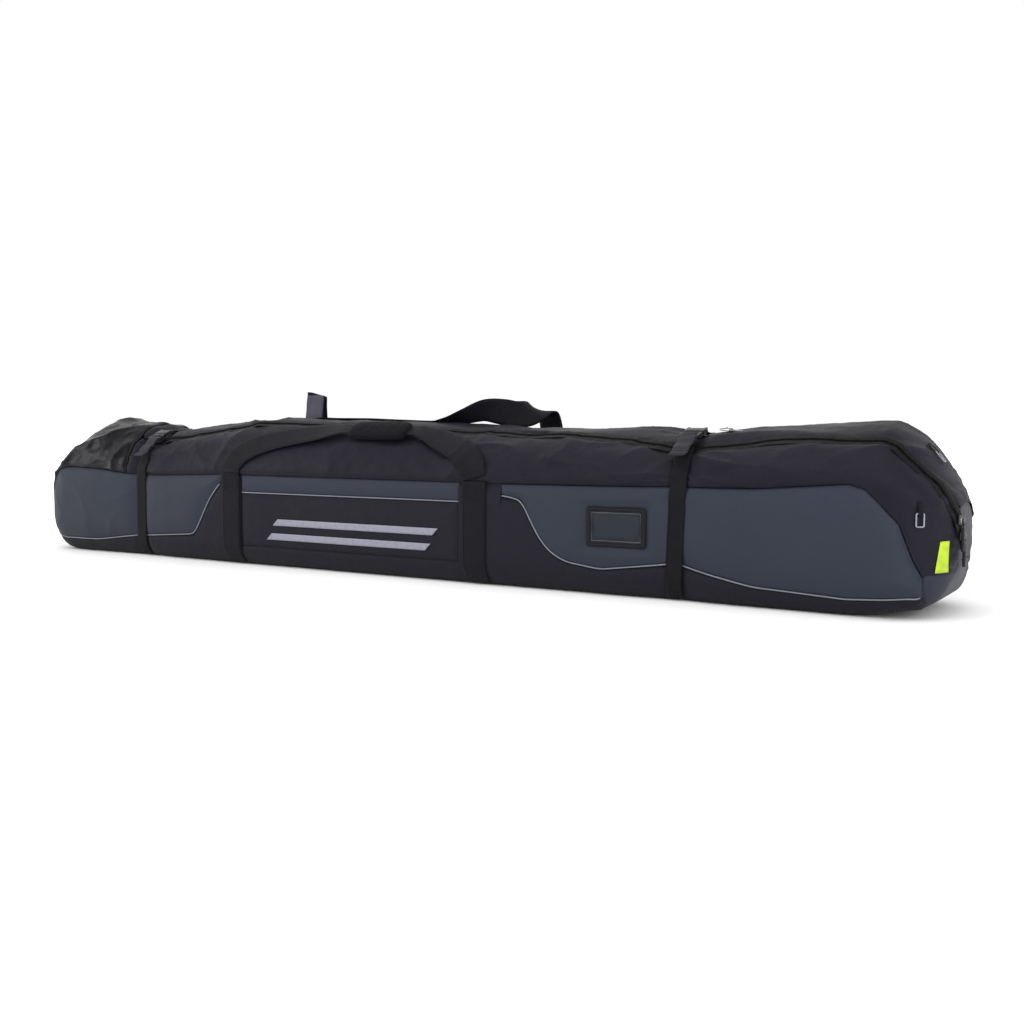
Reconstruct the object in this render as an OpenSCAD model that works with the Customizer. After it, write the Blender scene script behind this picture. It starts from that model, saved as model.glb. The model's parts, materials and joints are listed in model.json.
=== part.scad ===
// A long padded ski bag, lying on its base. X runs along its length towards the
// domed end with the zip pulls, the shown side faces -Y, and Z points up.

/* [Bag body] */
// Half of the bag's length
half_len = 980; // [976:1:984]
// Half of the depth, front side to back side
half_depth = 130; // [126:1:134]
// Height of the crest above the floor
crest_h = 282; // [276:1:288]
// Height of the seam along the back, where the lid hinges
back_seam_h = 180; // [178:1:182]
// Half of the flat part of the base
base_half = 92; // [86:1:98]
// Height of the rounding along the base's edges
base_round = 46; // [40:1:50]
// Thickness of the outer fabric panels
panel_t = 4; // [3:0.5:4]
// Thickness of the foam padding
foam_t = 6; // [4:0.5:7]

/* [Straps] */
// Place of the compression strap at the tapered end
strap_left_x = -680; // [-690:1:-670]
// Place of the compression strap at the domed end
strap_right_x = 560; // [550:1:570]
// Width of the compression straps
strap_w = 28; // [25:1:30]
// Place of the handles' legs at the tapered end
leg_left_x = -405; // [-412:1:-398]
// Place of the handles' legs at the domed end
leg_right_x = 182; // [176:1:188]
// Width of the handle webbing
web_w = 50; // [45:1:50]
// Thickness of all webbing
web_t = 1.6; // [1.2:0.1:1.8]
// Length of the padded grip wrap
wrap_len = 150; // [140:1:160]

/* [Hardware] */
// Width of the side-release buckles
buckle_w = 34; // [32:1:36]
// Height of the buckles
buckle_h = 9; // [8.4:0.1:9.6]
// Width of the name card window
window_w = 106; // [102:1:110]
// Height of the name card window
window_h = 66; // [62:1:68]
// Inner width of the lash rings
ring_w = 18; // [16:1:20]

/* [Hidden] */
$fn = 32;
layer_gap = 1;                       // air between a panel and what is sewn on it
hinge_y = half_depth + 6;            // the lid's hinge line, at the back seam
zip_end_x = -722;                    // where the zip starts, by the tapered end
dome_x = 868;                        // the domed end starts to fall here
tip_x = half_len - 11;               // the dome's last section
lining_d = panel_t + foam_t + 5;   // depth of the lining below the outside
grip_angle = 53;                     // where the front handle's grip lies on the top
x_axis = [1, 0, 0];

// Sections that every long panel shares
stations = [-half_len, -965, -950, -935, -905, -868, -815, -770, -722, -700, -680, -660, -630,
    -560, -513, -470, -430, -380, -300, -200, -100, 0, 100, 157, 207, 235, 262, 276, 286,
    296, 315, 335, 364, 430, 500, 545, 575, 620, 690, 760, 833, 857, 877, 892, 905, 914,
    924, 936, 946, 955, 963, tip_x];

// Rules along the length: [place, value]
depth_rule = [[-half_len, -14], [-960, -7], [-930, -2], [-860, 0], [strap_left_x, -8],
    [-600, -2], [-300, 0], [450, 0], [strap_right_x, -6], [650, 0], [850, 4], [900, 4]];
crest_rule = [[-half_len, -122], [-965, -90], [-940, -46], [-905, -10], [-868, 7], [-827, 8],
    [-730, 1], [-700, -16], [strap_left_x, -18], [-655, -18], [-630, -12], [-575, -6],
    [-480, 4], [-400, 11], [-330, 11], [-159, 6], [0, 2], [180, -4], [360, -9], [450, -12],
    [strap_right_x, -17], [640, -12], [700, -8], [780, -3], [850, 1]];
seam_rule = [[-half_len, 142], [-962, 165], [-945, 181], [-915, 187], [-816, 184],
    [-721, 175], [-645, 174], [-424, 180], [200, 179], [430, 181], [690, 184], [833, 195],
    [880, 188], [tip_x, 136]];
back_seam_rule = [[-half_len, 142], [-940, 172], [-900, 178], [zip_end_x, back_seam_h],
    [880, back_seam_h], [tip_x, 136]];
base_rule = [[-half_len, 34], [-965, 14], [-950, 4], [-925, 0], [825, 0], [880, 7],
    [910, 13], [935, 14], [955, 8]];
zip_rule = [[zip_end_x, 48], [-640, 50], [-480, 60], [-300, 66], [200, 62], [strap_right_x, 57], [700, 55],
    [833, 42], [950, 40], [tip_x, 48]];
right_low_rule = [[235, 160], [276, 153], [286, 140], [296, 118], [315, 87], [335, 67],
    [364, 53], [430, 45], [strap_right_x, 61], [620, 48], [690, 34], [833, 27], [936, 34]];
right_high_rule = [[235, 178], [430, 180], [690, 183], [833, 194], [857, 187], [877, 168],
    [892, 152], [905, 139], [914, 113], [924, 86], [936, 62]];
left_low_rule = [[-half_len, 62], [-958, 36], [-935, 28], [-815, 30], [-700, 43], [-513, 56],
    [-470, 128], [-430, 172]];
low_edge = 40;                       // top edge of the base where no curved panel meets it

// The domed end's fall: 0 before `from`, 1 at the tip
function fall(x, from, p) = x <= from ? 0 :
    1 - pow(1 - pow(min(1, (x - from) / (tip_x + 4 - from)), p), 1 / p);
function depth_at(x) =
    (half_depth + lookup(x, depth_rule)) * (1 - fall(x, dome_x, 2.5));
function crest_at(x) = crest_h + lookup(x, crest_rule) - 134 * fall(x, dome_x, 1.45);
function base_at(x) = lookup(x, base_rule) + 112 * fall(x, 925, 1.75);
function seam_at(x, side) = lookup(x, side < 0 ? seam_rule : back_seam_rule);

// A point of the outline at x. t is 0 to 1 round the base's edge, 1 to 2 up the side and
// 2 to 3 over the top to the crest; side is -1 for the front; d is the depth below it.
function skin(x, t, side, d) =
    let (w = depth_at(x) - d, b = base_half * w / half_depth, z0 = base_at(x) + d,
         zs = seam_at(x, side), zr = min(z0 + base_round, (z0 + zs) / 2), zc = crest_at(x) - d,
         a = 90 * min(1, max(0, t)), c = 90 * min(1, max(0, t - 2)))
    t < 1 ? [x, side * (b + (w - b) * sin(a)), zr - (zr - z0) * cos(a)] :
    t < 2 ? [x, side * w, zr + (zs - zr) * (t - 1)] :
    [x, side * w * cos(c), zs + (zc - zs) * sin(c)];

// The t of a height on the side, and of an angle over the top
function t_of_z(x, z, side) =
    let (z0 = base_at(x), zs = seam_at(x, side), zr = min(z0 + base_round, (z0 + zs) / 2))
    z < zr ? acos(max(-1, min(1, (zr - z) / (zr - z0)))) / 90 : 1 + (z - zr) / (zs - zr);
function t_of_angle(a) = 2 + a / 90;
function zip_t(x) = t_of_angle(lookup(x, zip_rule));
function between(x0, x1) = concat([x0], [for (x = stations) if (x > x0 + 1 && x < x1 - 1) x], [x1]);

// A closed slab between two grids of points of one size
module slab(outer, inner) {
    n = len(outer);
    m = len(outer[0]);
    total = n * m;
    points = concat([for (row = outer) each row], [for (row = inner) each row]);
    function at(i, j) = i * m + j;
    faces = concat(
        [for (i = [0:n - 2], j = [0:m - 2]) each [
            [at(i, j), at(i, j + 1), at(i + 1, j + 1)], [at(i, j), at(i + 1, j + 1), at(i + 1, j)],
            [total + at(i, j), total + at(i + 1, j + 1), total + at(i, j + 1)],
            [total + at(i, j), total + at(i + 1, j), total + at(i + 1, j + 1)]]],
        [for (i = [0:n - 2]) each [
            [at(i, 0), at(i + 1, 0), total + at(i + 1, 0)], [at(i, 0), total + at(i + 1, 0), total + at(i, 0)],
            [at(i, m - 1), total + at(i + 1, m - 1), at(i + 1, m - 1)],
            [at(i, m - 1), total + at(i, m - 1), total + at(i + 1, m - 1)]]],
        [for (j = [0:m - 2]) each [
            [at(0, j), total + at(0, j + 1), at(0, j + 1)], [at(0, j), total + at(0, j), total + at(0, j + 1)],
            [at(n - 1, j), at(n - 1, j + 1), total + at(n - 1, j + 1)],
            [at(n - 1, j), total + at(n - 1, j + 1), total + at(n - 1, j)]]]);
    polyhedron(points = points, faces = faces);
}

// A panel of the skin between two rules of t, at one side
module panel(x0, x1, low, high, side, d0, d1, rows = 6) {
    xs = between(x0, x1);
    grid = function (d) [for (x = xs) [for (k = [0:rows])
        skin(x, low(x) + (high(x) - low(x)) * k / rows, side, d)]];
    if (side < 0) slab(grid(d0), grid(d1)); else slab(grid(d1), grid(d0));
}

// A piece of skin that crosses the crest: low on the front, high_back on the back
module roof(x0, x1, front_t, back_t, d0, d1, rows = 10) {
    xs = between(x0, x1);
    walk = function (x, s) let (f = 3 - front_t(x), b = 3 - back_t(x), u = -f + (f + b) * s)
        u < 0 ? [3 + u, -1] : [3 - u, 1];
    grid = function (d) [for (x = xs) [for (k = [0:rows])
        let (w = walk(x, k / rows)) skin(x, w[0], w[1], d)]];
    slab(grid(d0), grid(d1));
}

// The underside between the two base edges
module underside(x0, x1, front_t, back_t, d0, d1) {
    xs = between(x0, x1);
    grid = function (d) [for (x = xs) concat(
        [for (k = [0:7]) skin(x, front_t(x) * (1 - k / 7), -1, d)],
        [for (k = [0:7]) skin(x, back_t(x) * k / 7, 1, d)])];
    slab(grid(d1), grid(d0));
}

// A ribbon along points, each [centre, width direction, width]
module ribbon(path, t = web_t) {
    last = len(path) - 1;
    unit = function (v) v / norm(v);
    ahead = function (i) unit(path[min(last, i + 1)][0] - path[max(0, i - 1)][0]);
    normal = function (i) unit(cross(ahead(i), path[i][1]));
    corner = function (i, s, n) path[i][0] + s * unit(path[i][1]) * path[i][2] / 2 + n * normal(i) * t / 2;
    slab([for (i = [0:last]) [corner(i, -1, 1), corner(i, 1, 1)]],
         [for (i = [0:last]) [corner(i, -1, -1), corner(i, 1, -1)]]);
}

low_t = function (x) t_of_z(x, low_edge, -1);

// ---- Outer panels ----
left_low = function (x) t_of_z(x, lookup(x, left_low_rule), -1);
right_low = function (x) t_of_z(x, lookup(x, right_low_rule), -1);
right_high = function (x) t_of_z(x, lookup(x, right_high_rule), -1);
seam_t = function (x) 2;

module side_left(side) panel(-half_len, -432, left_low, seam_t, side, 0, panel_t);
module side_right(side)
    panel(237, 936, right_low, side < 0 ? right_high : function (x) min(2, right_high(x)), side, 0, panel_t);
band_t = function (x) t_of_z(x, 146, -1);
module side_centre(side) panel(-378, 150, low_t, band_t, side, 0, panel_t);
module side_band(side) panel(-378, 150, band_t, seam_t, side, 0, panel_t, 2);

module front_left_panel() color("#474c57") side_left(-1);
module front_right_panel() color("#474c57") side_right(-1);
module front_centre_panel() color("#29272e") side_centre(-1);
module front_band() color("#454954") side_band(-1);
module back_left_panel() color("#474c57") side_left(1);
module back_right_panel() color("#474c57") side_right(1);
module back_centre_panel() color("#29272e") side_centre(1);
module back_band() color("#454954") side_band(1);

// The base with the dark sides that rise to the grey panels' curved edges
seam_gap = 0.012;                    // open seam below a curved edge, in the outline's t
module base_panel() color("#26252b") {
    below_left = function (x) left_low(x) - seam_gap;
    below_centre = function (x) low_t(x) - seam_gap;
    below_right = function (x) right_low(x) - seam_gap;
    underside(-half_len, -432, below_left, below_left, 0, panel_t);
    underside(-378, 150, below_centre, below_centre, 0, panel_t);
    underside(237, 936, below_right, below_right, 0, panel_t);
    underside(-432, -378, seam_t, seam_t, 0, panel_t);
    underside(150, 237, seam_t, seam_t, 0, panel_t);
}

// The end below the lid, closed by a small plate at its tip
module tip_plate(low, high, x = tip_x) {
    ring = concat([for (k = [0:6]) skin(x, low + (high - low) * k / 6, -1, panel_t + 0.5)],
                  [for (k = [6:-1:0]) skin(x, low + (high - low) * k / 6, 1, panel_t + 0.5)]);
    outline = [for (p = ring) [p[1], p[2]]];
    translate([x - panel_t, 0, 0]) rotate([90, 0, 90]) linear_extrude(panel_t) polygon(outline);
}
module right_end_panel() color("#33323a") {
    underside(936, tip_x, seam_t, seam_t, 0, panel_t);
    tip_plate(0, 1.98);
    panel(833, 936, function (x) min(2, right_high(x)), seam_t, 1, 0, panel_t, 2);
}

front_edge = function (x) x < 235 ? 2 : x < 936 ? right_high(x) : 2;
zip_front = function (x) zip_t(x) - 0.03;
zip_lid = function (x) zip_t(x) + 0.03;
lid_back = function (x) t_of_angle(0.4);
module front_top_panel() color("#2f2e35") {
    panel(zip_end_x, 236, seam_t, zip_front, -1, 0, panel_t, 5);
    panel(236, 833, seam_t, zip_front, -1, 0, panel_t, 5);
    panel(833, tip_x, front_edge, zip_front, -1, 0, panel_t, 6);
}
module nose_cap() color("#232227") {
    roof(-half_len, zip_end_x - 2, seam_t, seam_t, 0, panel_t);
    translate([-half_len, 0, 0]) rotate([90, 0, 90]) linear_extrude(panel_t)
        polygon([for (side = [-1, 1]) each [for (k = (side < 0 ? [0:8] : [8:-1:0]))
            let (p = skin(-half_len, 3 * k / 8, side, panel_t + 0.5)) [p[1], p[2]]]]);
}
module lid_panel() color("#303038") {
    roof(zip_end_x, tip_x, zip_lid, lid_back, 0, panel_t, 9);
    tip_plate(2.02, 2.9);
}

// ---- Padding and lining ----
foam_d = panel_t + 2.5;
module side_foam(side) color("#8f9095")
    panel(-900, 880, function (x) 0.95, function (x) 1.9, side, foam_d, foam_d + foam_t, 3);
module foam_front() side_foam(-1);
module foam_back() side_foam(1);
module foam_base() color("#8f9095")
    underside(-880, 900, function (x) 0.85, function (x) 0.85, foam_d, foam_d + foam_t);
module lining_tub() color("#1f1f23")
    underside(-890, 880, function (x) 1.85, function (x) 1.85, lining_d, lining_d + 1.2);
module lid_lining() color("#1f1f23")
    roof(zip_end_x + 20, 880, function (x) zip_lid(x) + 0.06, function (x) 2.12, foam_d, foam_d + 1.2, 6);

// A strap that ties the skis, sewn to the lining's floor with both ends turned up
module ski_strap(x) {
    floor_z = lining_d + 4.5;
    color("#1d1d20") ribbon([[[x, -88, floor_z + 62], x_axis, 38], [[x, -86, floor_z + 22], x_axis, 38],
        [[x, -74, floor_z + 2], x_axis, 38], [[x, 0, floor_z], x_axis, 38], [[x, 74, floor_z + 2], x_axis, 38],
        [[x, 86, floor_z + 22], x_axis, 38], [[x, 88, floor_z + 62], x_axis, 38]]);
}
module ski_strap_left() ski_strap(-450);
module ski_strap_right() ski_strap(400);

// ---- Webbing sewn to the sides ----
web_d = -layer_gap - web_t;
module leg_band(x, side) panel(x - web_w / 2, x + web_w / 2, function (x) 0.35, function (x) 1.97, side,
    web_d, -layer_gap, 7);
module front_webbing() color("#26252b") for (x = [leg_left_x, leg_right_x]) leg_band(x, -1);
module back_webbing() color("#26252b") for (x = [leg_left_x, leg_right_x]) leg_band(x, 1);

// Compression straps: lower part on the side, upper part to the buckle
module strap_front(x) color("#232228")
    panel(x - strap_w / 2, x + strap_w / 2, function (x) 0.35, function (x) zip_t(x) - 0.2, -1,
        web_d, -layer_gap, 12);
module strap_back(x) color("#232228")
    panel(x - strap_w / 2, x + strap_w / 2, function (x) 0.35, function (x) 1.97, 1, web_d, -layer_gap, 7);
module strap_lid(x) color("#232228")
    roof(x - strap_w / 2, x + strap_w / 2, function (x) zip_t(x) + 0.33, function (x) 2.03,
        web_d, -layer_gap, 9);
module strap_front_left() strap_front(strap_left_x);
module strap_front_right() strap_front(strap_right_x);
module strap_back_left() strap_back(strap_left_x);
module strap_back_right() strap_back(strap_right_x);
module strap_lid_left() strap_lid(strap_left_x);
module strap_lid_right() strap_lid(strap_right_x);

// ---- Buckles ----
// Local frame on the top at the zip: +Y runs up the slope towards the lid, Z is outwards
buckle_lift = 5.4;
function buckle_at(x) = skin(x, zip_t(x) + 0.09, -1, 0);
function buckle_tilt(x) = let (a = skin(x, zip_t(x) - 0.05, -1, 0), b = skin(x, zip_t(x) + 0.3, -1, 0))
    atan2(b[2] - a[2], b[1] - a[1]);
module on_buckle(x) translate(buckle_at(x)) rotate([buckle_tilt(x), 0, 0]) translate([0, 0, buckle_lift])
    children();
female_len = 28;
module female(x) color("#2c2d31") on_buckle(x) {
    for (z = [0, buckle_h - 2]) translate([-buckle_w / 2, 6, z]) cube([buckle_w, female_len - 6, 2]);
    translate([-buckle_w / 2, female_len - 6, 0]) cube([buckle_w, 6, buckle_h]);
    for (s = [-1, 1]) translate([s * 6 - 1, 10, 1]) cube([2, female_len - 14, buckle_h - 2]);
}
module male(x) color("#303136") on_buckle(x) {
    translate([-buckle_w / 2, -14, 1]) difference() {
        cube([buckle_w, 19, buckle_h - 2]);
        for (y = [3, 10]) translate([3, y, -1]) cube([buckle_w - 6, 3.6, buckle_h]);
    }
    translate([-2, 5, 3]) cube([4, 15, 3]);
    for (s = [-1, 1]) translate([s * 13 - 2, 5, 2.6]) cube([4, 14, buckle_h - 5.2]);
}
module buckle_female_left() female(strap_left_x);
module buckle_female_right() female(strap_right_x);
module buckle_male_left() male(strap_left_x);
module buckle_male_right() male(strap_right_x);

// The strap's doubled tail, which hangs from the buckle over the strap
tail_drop = 46;
module tail(x) color("#3a3940") on_buckle(x)
    ribbon([[[0, -14.2, 3], x_axis, strap_w], [[0, -14.2 - tail_drop, 1.4], x_axis, strap_w]], 2 * web_t);
module strap_tail_left() tail(strap_left_x);
module strap_tail_right() tail(strap_right_x);

// ---- Carrying handles ----
wrap_x = -73;                        // middle of the grip wrap
leg_run = (leg_right_x - leg_left_x - wrap_len) / 2 - 22;
// Each step of a front leg: angle over the top, run along the bag, height above the fabric
front_leg = [[5, 0, 5], [14, 6, 5.5], [26, 30, 6], [37, 80, 6], [46, 145, 8], [grip_angle, 196, 13]];
grip_w = 30;
grip_slope = [0, 0.848, 0.53];
function on_top(x, a, d) = skin(x, t_of_angle(a), -1, d);
function out_of_top(x, a) = [0, -cos(a) / depth_at(x), sin(a) / (crest_at(x) - seam_at(x, -1))];
function leg_stretch(x0) = (abs(wrap_x - x0) - wrap_len / 2 - 22) / leg_run;
function leg_points(x0, dir) =
    [for (p = front_leg) on_top(x0 + dir * p[1] * leg_stretch(x0), p[0], -p[2])];
function front_leg_path(x0, dir) = let (c = leg_points(x0, dir), last = len(c) - 1)
    [for (i = [0:last]) [c[i], i == 0 ? dir * x_axis : i == last ? dir * grip_slope :
        cross(out_of_top(c[i][0], front_leg[i][0]), c[i + 1] - c[max(0, i - 1)]),
        i == last ? grip_w : web_w - 2 * i]];
module front_handle() color("#26252b") {
    left = front_leg_path(leg_left_x, 1);
    right = front_leg_path(leg_right_x, -1);
    ribbon(left);
    ribbon(right);
    ribbon([for (p = [left[5][0], right[5][0]]) [p, grip_slope, grip_w]]);
}
wrap_h = 22;
module grip_wrap() color("#2b2a31") translate(on_top(wrap_x, grip_angle, -13)) rotate([32, 0, 0])
    rotate([0, 90, 0]) difference() {
        translate([0, 0, -wrap_len / 2]) linear_extrude(wrap_len) sleeve(wrap_h / 2, 21);
        translate([0, 0, -wrap_len / 2 - 1]) linear_extrude(wrap_len + 2) sleeve(wrap_h / 2 - 3, 18);
    }
module sleeve(r, w) union() {
    square([2 * r, 2 * (w - r)], center = true);
    for (s = [-1, 1]) translate([0, s * (w - r)]) circle(r);
}

// The rear handle's legs stand up from the back seam and cross over to the grip
rear_leg_y = hinge_y + 2;
rear_left = [[[leg_left_x, rear_leg_y, 184], [1, 0, 0]], [[leg_left_x, rear_leg_y, 250], [1, 0, 0]],
    [[leg_left_x, 130, 316], [1, 0, 0]], [[leg_left_x + 1, 112, 336], [1, 0, 0]],
    [[leg_left_x + 6, 90, 322], [1, 0.1, 0]], [[-378, 64, 302], [0.9, 0.4, 0.1]],
    [[-322, 30, 304], [0.6, 0.8, 0.1]], [[-242, 2, 304], [0.3, 1, 0.1]],
    [[wrap_x - 93, -22, 297], [0, 1, 0.2]]];
rear_right = [[[leg_right_x, rear_leg_y, 184], [1, 0, 0]], [[leg_right_x, rear_leg_y, 240], [1, 0, 0]],
    [[leg_right_x - 2, rear_leg_y - 8, 284], [1, 0.2, 0.3]], [[150, 104, 300], [0.5, 0, -1]],
    [[112, 74, 307], [0.2, 0, -1]], [[76, 40, 307], [0, 0.2, -1]], [[42, 10, 304], [0, 0.7, -0.6]],
    [[wrap_x + 74, -18, 297], [0, 1, 0.1]]];
module rear_handle() color("#232228") {
    ribbon([for (p = rear_left) [p[0], p[1], web_w]]);
    ribbon([for (p = rear_right) [p[0], p[1], web_w]]);
    ribbon([for (p = [[-94, -22, 298.4], [-8, -28, 296], [75, -20, 298.4]])
        [[wrap_x, 0, 0] + p, [0, 1, 0.2], 34]]);
}

// ---- Zip ----
module zip_coil_front() color("#18181b")
    panel(zip_end_x + 6, tip_x - 4, function (x) zip_t(x) - 0.045, function (x) zip_t(x) - 0.012, -1,
        -2.2, -0.6, 2);
module zip_coil_lid() color("#18181b")
    panel(zip_end_x + 6, tip_x - 4, function (x) zip_t(x) + 0.012, function (x) zip_t(x) + 0.045, -1,
        -2.2, -0.6, 2);
// The zip's last stretch runs down the end, and both sliders park on it
park_x = tip_x + 2;
slider_upper_at = [park_x, -58, 144];
slider_lower_at = [park_x, -46, 121];
pull_len = 44;
module slider(at) color("#2a2b2e") translate(at) {
    translate([0, -5, -7]) cube([4, 10, 14]);
    translate([4, -2, -5]) difference() {
        cube([4, 4, 9]);
        translate([1.2, -1, 1.6]) cube([3, 6, 3.4]);
    }
}
// A pull hangs from a bar that runs through the slider's bridge
module pull(at) color("#202124") translate(at + [6.7, 0, -1.7]) {
    rotate([90, 0, 0]) cylinder(h = 8.4, r = 1, center = true);
    for (side = [-1, 1]) translate([-1, side * 3.4 - 0.8, -13]) cube([2, 1.6, 13]);
    translate([-1.8, -4.2, -pull_len]) cube([3.6, 8.4, pull_len - 12]);
}
module slider_upper() slider(slider_upper_at);
module slider_lower() slider(slider_lower_at);
module pull_upper() pull(slider_upper_at);
module pull_lower() pull(slider_lower_at);

// ---- Lash rings, each hanging from a short webbing tab ----
// Local frame: +Z out of the fabric, the ring hangs towards -Y from a bar on the X axis
ring_wire = 2.4;
module lash_ring(p, tilt) color("#9a9ca3") translate(p) rotate(tilt)
    translate([0, -5.75, 0]) linear_extrude(ring_wire, center = true) difference() {
        square([ring_w + 5, 14], center = true);
        square([ring_w, 9], center = true);
    }
module lash_tab(p, tilt) color("#232228") translate(p) rotate(tilt) {
    for (z = [-ring_wire, ring_wire]) translate([-7, -4, z - 0.5]) cube([14, 22, 1]);
    translate([-7, -4.5, -ring_wire - 0.5]) cube([14, 1, 2 * ring_wire + 1]);
}
ring_front_p = skin(932, 1.98, -1, -5.5);
ring_front_tilt = [90, 0, 35];
ring_lid_p = skin(930, 2.9, -1, -6);
ring_lid_tilt = [50, 0, 90];
ring_back_p = skin(612, 2.86, -1, -6);
ring_back_tilt = [6, 0, 90];
module lash_ring_front() lash_ring(ring_front_p, ring_front_tilt);
module lash_tab_front() lash_tab(ring_front_p, ring_front_tilt);
module lash_ring_lid() lash_ring(ring_lid_p, ring_lid_tilt);
module lash_tab_lid() lash_tab(ring_lid_p, ring_lid_tilt);
module d_ring() lash_ring(ring_back_p, ring_back_tilt);
module d_ring_tab() lash_tab(ring_back_p, ring_back_tilt);

// ---- Name card window ----
window_x = 463;
window_z = 114;
window_d = 1.6;
module on_side(x, z, d) translate([x, -depth_at(x) - d, z]) rotate([90, 0, 0]) children();
module window_frame() color("#1e1f23") on_side(window_x, window_z, window_d) linear_extrude(1.6) difference() {
    square([window_w, window_h], center = true);
    square([window_w - 16, window_h - 16], center = true);
}
module window_pane() color("#3a3d49") on_side(window_x, window_z, window_d + 0.7)
    linear_extrude(0.8) square([window_w - 16.4, window_h - 16.4], center = true);
module name_card() color("#50535e") on_side(window_x, window_z, window_d)
    linear_extrude(0.5) square([window_w - 22, window_h - 22], center = true);

// ---- Trim: piping beside the curved seams, and two plain badges ----
piping_h = 0.03;
module piping(side) color("#8c9098") {
    clear = strap_w / 2 + 1;
    for (span = [[239, strap_right_x - clear], [strap_right_x + clear, 930]])
        panel(span[0], span[1], function (x) right_low(x) - piping_h, right_low, side, -2, -0.6, 1);
    for (span = [[-935, strap_left_x - clear], [strap_left_x + clear, -434]])
        panel(span[0], span[1], function (x) left_low(x) - piping_h, left_low, side, -2, -0.6, 1);
    panel(-376, 150, function (x) band_t(x) - piping_h, band_t, side, -2, -0.6, 1);
}
module piping_front() piping(-1);
module piping_back() piping(1);
module side_badge() color("#a9a9b8") for (z = [62, 90]) on_side(-100, z, 0.8)
    linear_extrude(0.8) square([400, 13], center = true);
module end_badge() color("#d4ec1e") translate(skin(952, 1.3, -1, -2)) rotate([90, 0, 60])
    linear_extrude(1) square([14, 42], center = true);

base_panel();
front_left_panel();
front_centre_panel();
front_right_panel();
front_band();
back_left_panel();
back_centre_panel();
back_right_panel();
back_band();
front_top_panel();
right_end_panel();
nose_cap();
lid_panel();
foam_base();
foam_front();
foam_back();
lining_tub();
lid_lining();
ski_strap_left();
ski_strap_right();
front_webbing();
back_webbing();
strap_front_left();
strap_front_right();
strap_back_left();
strap_back_right();
strap_lid_left();
strap_lid_right();
strap_tail_left();
strap_tail_right();
buckle_female_left();
buckle_female_right();
buckle_male_left();
buckle_male_right();
front_handle();
grip_wrap();
rear_handle();
zip_coil_front();
zip_coil_lid();
slider_upper();
slider_lower();
pull_upper();
pull_lower();
lash_tab_front();
lash_ring_front();
lash_tab_lid();
lash_ring_lid();
d_ring_tab();
d_ring();
window_frame();
window_pane();
name_card();
piping_front();
piping_back();
side_badge();
end_badge();
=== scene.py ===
"""The looks of a long padded ski bag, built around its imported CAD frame.

Every soft panel is cut from one surface: skin() gives the bag's outline from the same rules as the CAD,
and cloth() adds what fabric does, such as sagging, strap dents, folds and crumples. Metres throughout.
"""
import json
import math

import bmesh
import bpy
import numpy as np
from mathutils import Matrix, Vector


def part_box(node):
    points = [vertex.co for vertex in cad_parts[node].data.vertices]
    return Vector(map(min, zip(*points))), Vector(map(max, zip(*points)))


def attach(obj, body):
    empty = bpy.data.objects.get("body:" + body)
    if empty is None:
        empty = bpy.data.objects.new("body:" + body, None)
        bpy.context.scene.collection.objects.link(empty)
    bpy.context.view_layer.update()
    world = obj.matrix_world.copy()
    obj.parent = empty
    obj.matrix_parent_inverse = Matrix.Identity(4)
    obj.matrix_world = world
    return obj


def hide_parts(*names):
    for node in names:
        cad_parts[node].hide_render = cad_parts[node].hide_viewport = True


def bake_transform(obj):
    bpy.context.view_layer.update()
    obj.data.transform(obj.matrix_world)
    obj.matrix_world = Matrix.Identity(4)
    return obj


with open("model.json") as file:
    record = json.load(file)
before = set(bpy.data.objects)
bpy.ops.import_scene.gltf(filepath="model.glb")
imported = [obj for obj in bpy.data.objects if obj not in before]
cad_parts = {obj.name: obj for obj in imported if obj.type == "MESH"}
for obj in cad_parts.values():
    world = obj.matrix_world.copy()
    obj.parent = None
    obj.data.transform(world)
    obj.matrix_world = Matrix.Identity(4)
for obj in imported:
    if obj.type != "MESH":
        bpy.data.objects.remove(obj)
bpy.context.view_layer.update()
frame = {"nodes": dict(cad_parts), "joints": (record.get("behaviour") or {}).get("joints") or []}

# ---------------------------------------------------------------- driving values
HALF_LEN = 0.980
TIP_X = 0.969
HALF_DEPTH = 0.130
CREST_H = 0.282
BASE_HALF = 0.092
BASE_ROUND = 0.046
HINGE_Y = 0.136
BACK_SEAM_H = 0.180
ZIP_END_X = -0.722
DOME_X = 0.868
STRAP_LEFT_X = -0.680
STRAP_RIGHT_X = 0.560
STRAP_W = 0.028
LEG_LEFT_X = -0.405
LEG_RIGHT_X = 0.182
WEB_W = 0.050
WEB_T = 0.0018
WINDOW_X, WINDOW_Z = 0.459, 0.115
WINDOW_W, WINDOW_H = 0.106, 0.066
WINDOW_LIFT = 0.0036
# The wrap and the rings are drawn apart from their CAD solids, in place or in size
WRAP_X, WRAP_LEN, GRIP_ANGLE = -0.052, 0.134, 50
BUCKLE_W, BUCKLE_H, BUCKLE_LIFT = 0.034, 0.009, 0.0054
RING_W, RING_REACH, RING_WIRE = 0.0088, 0.0190, 0.0024

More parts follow.
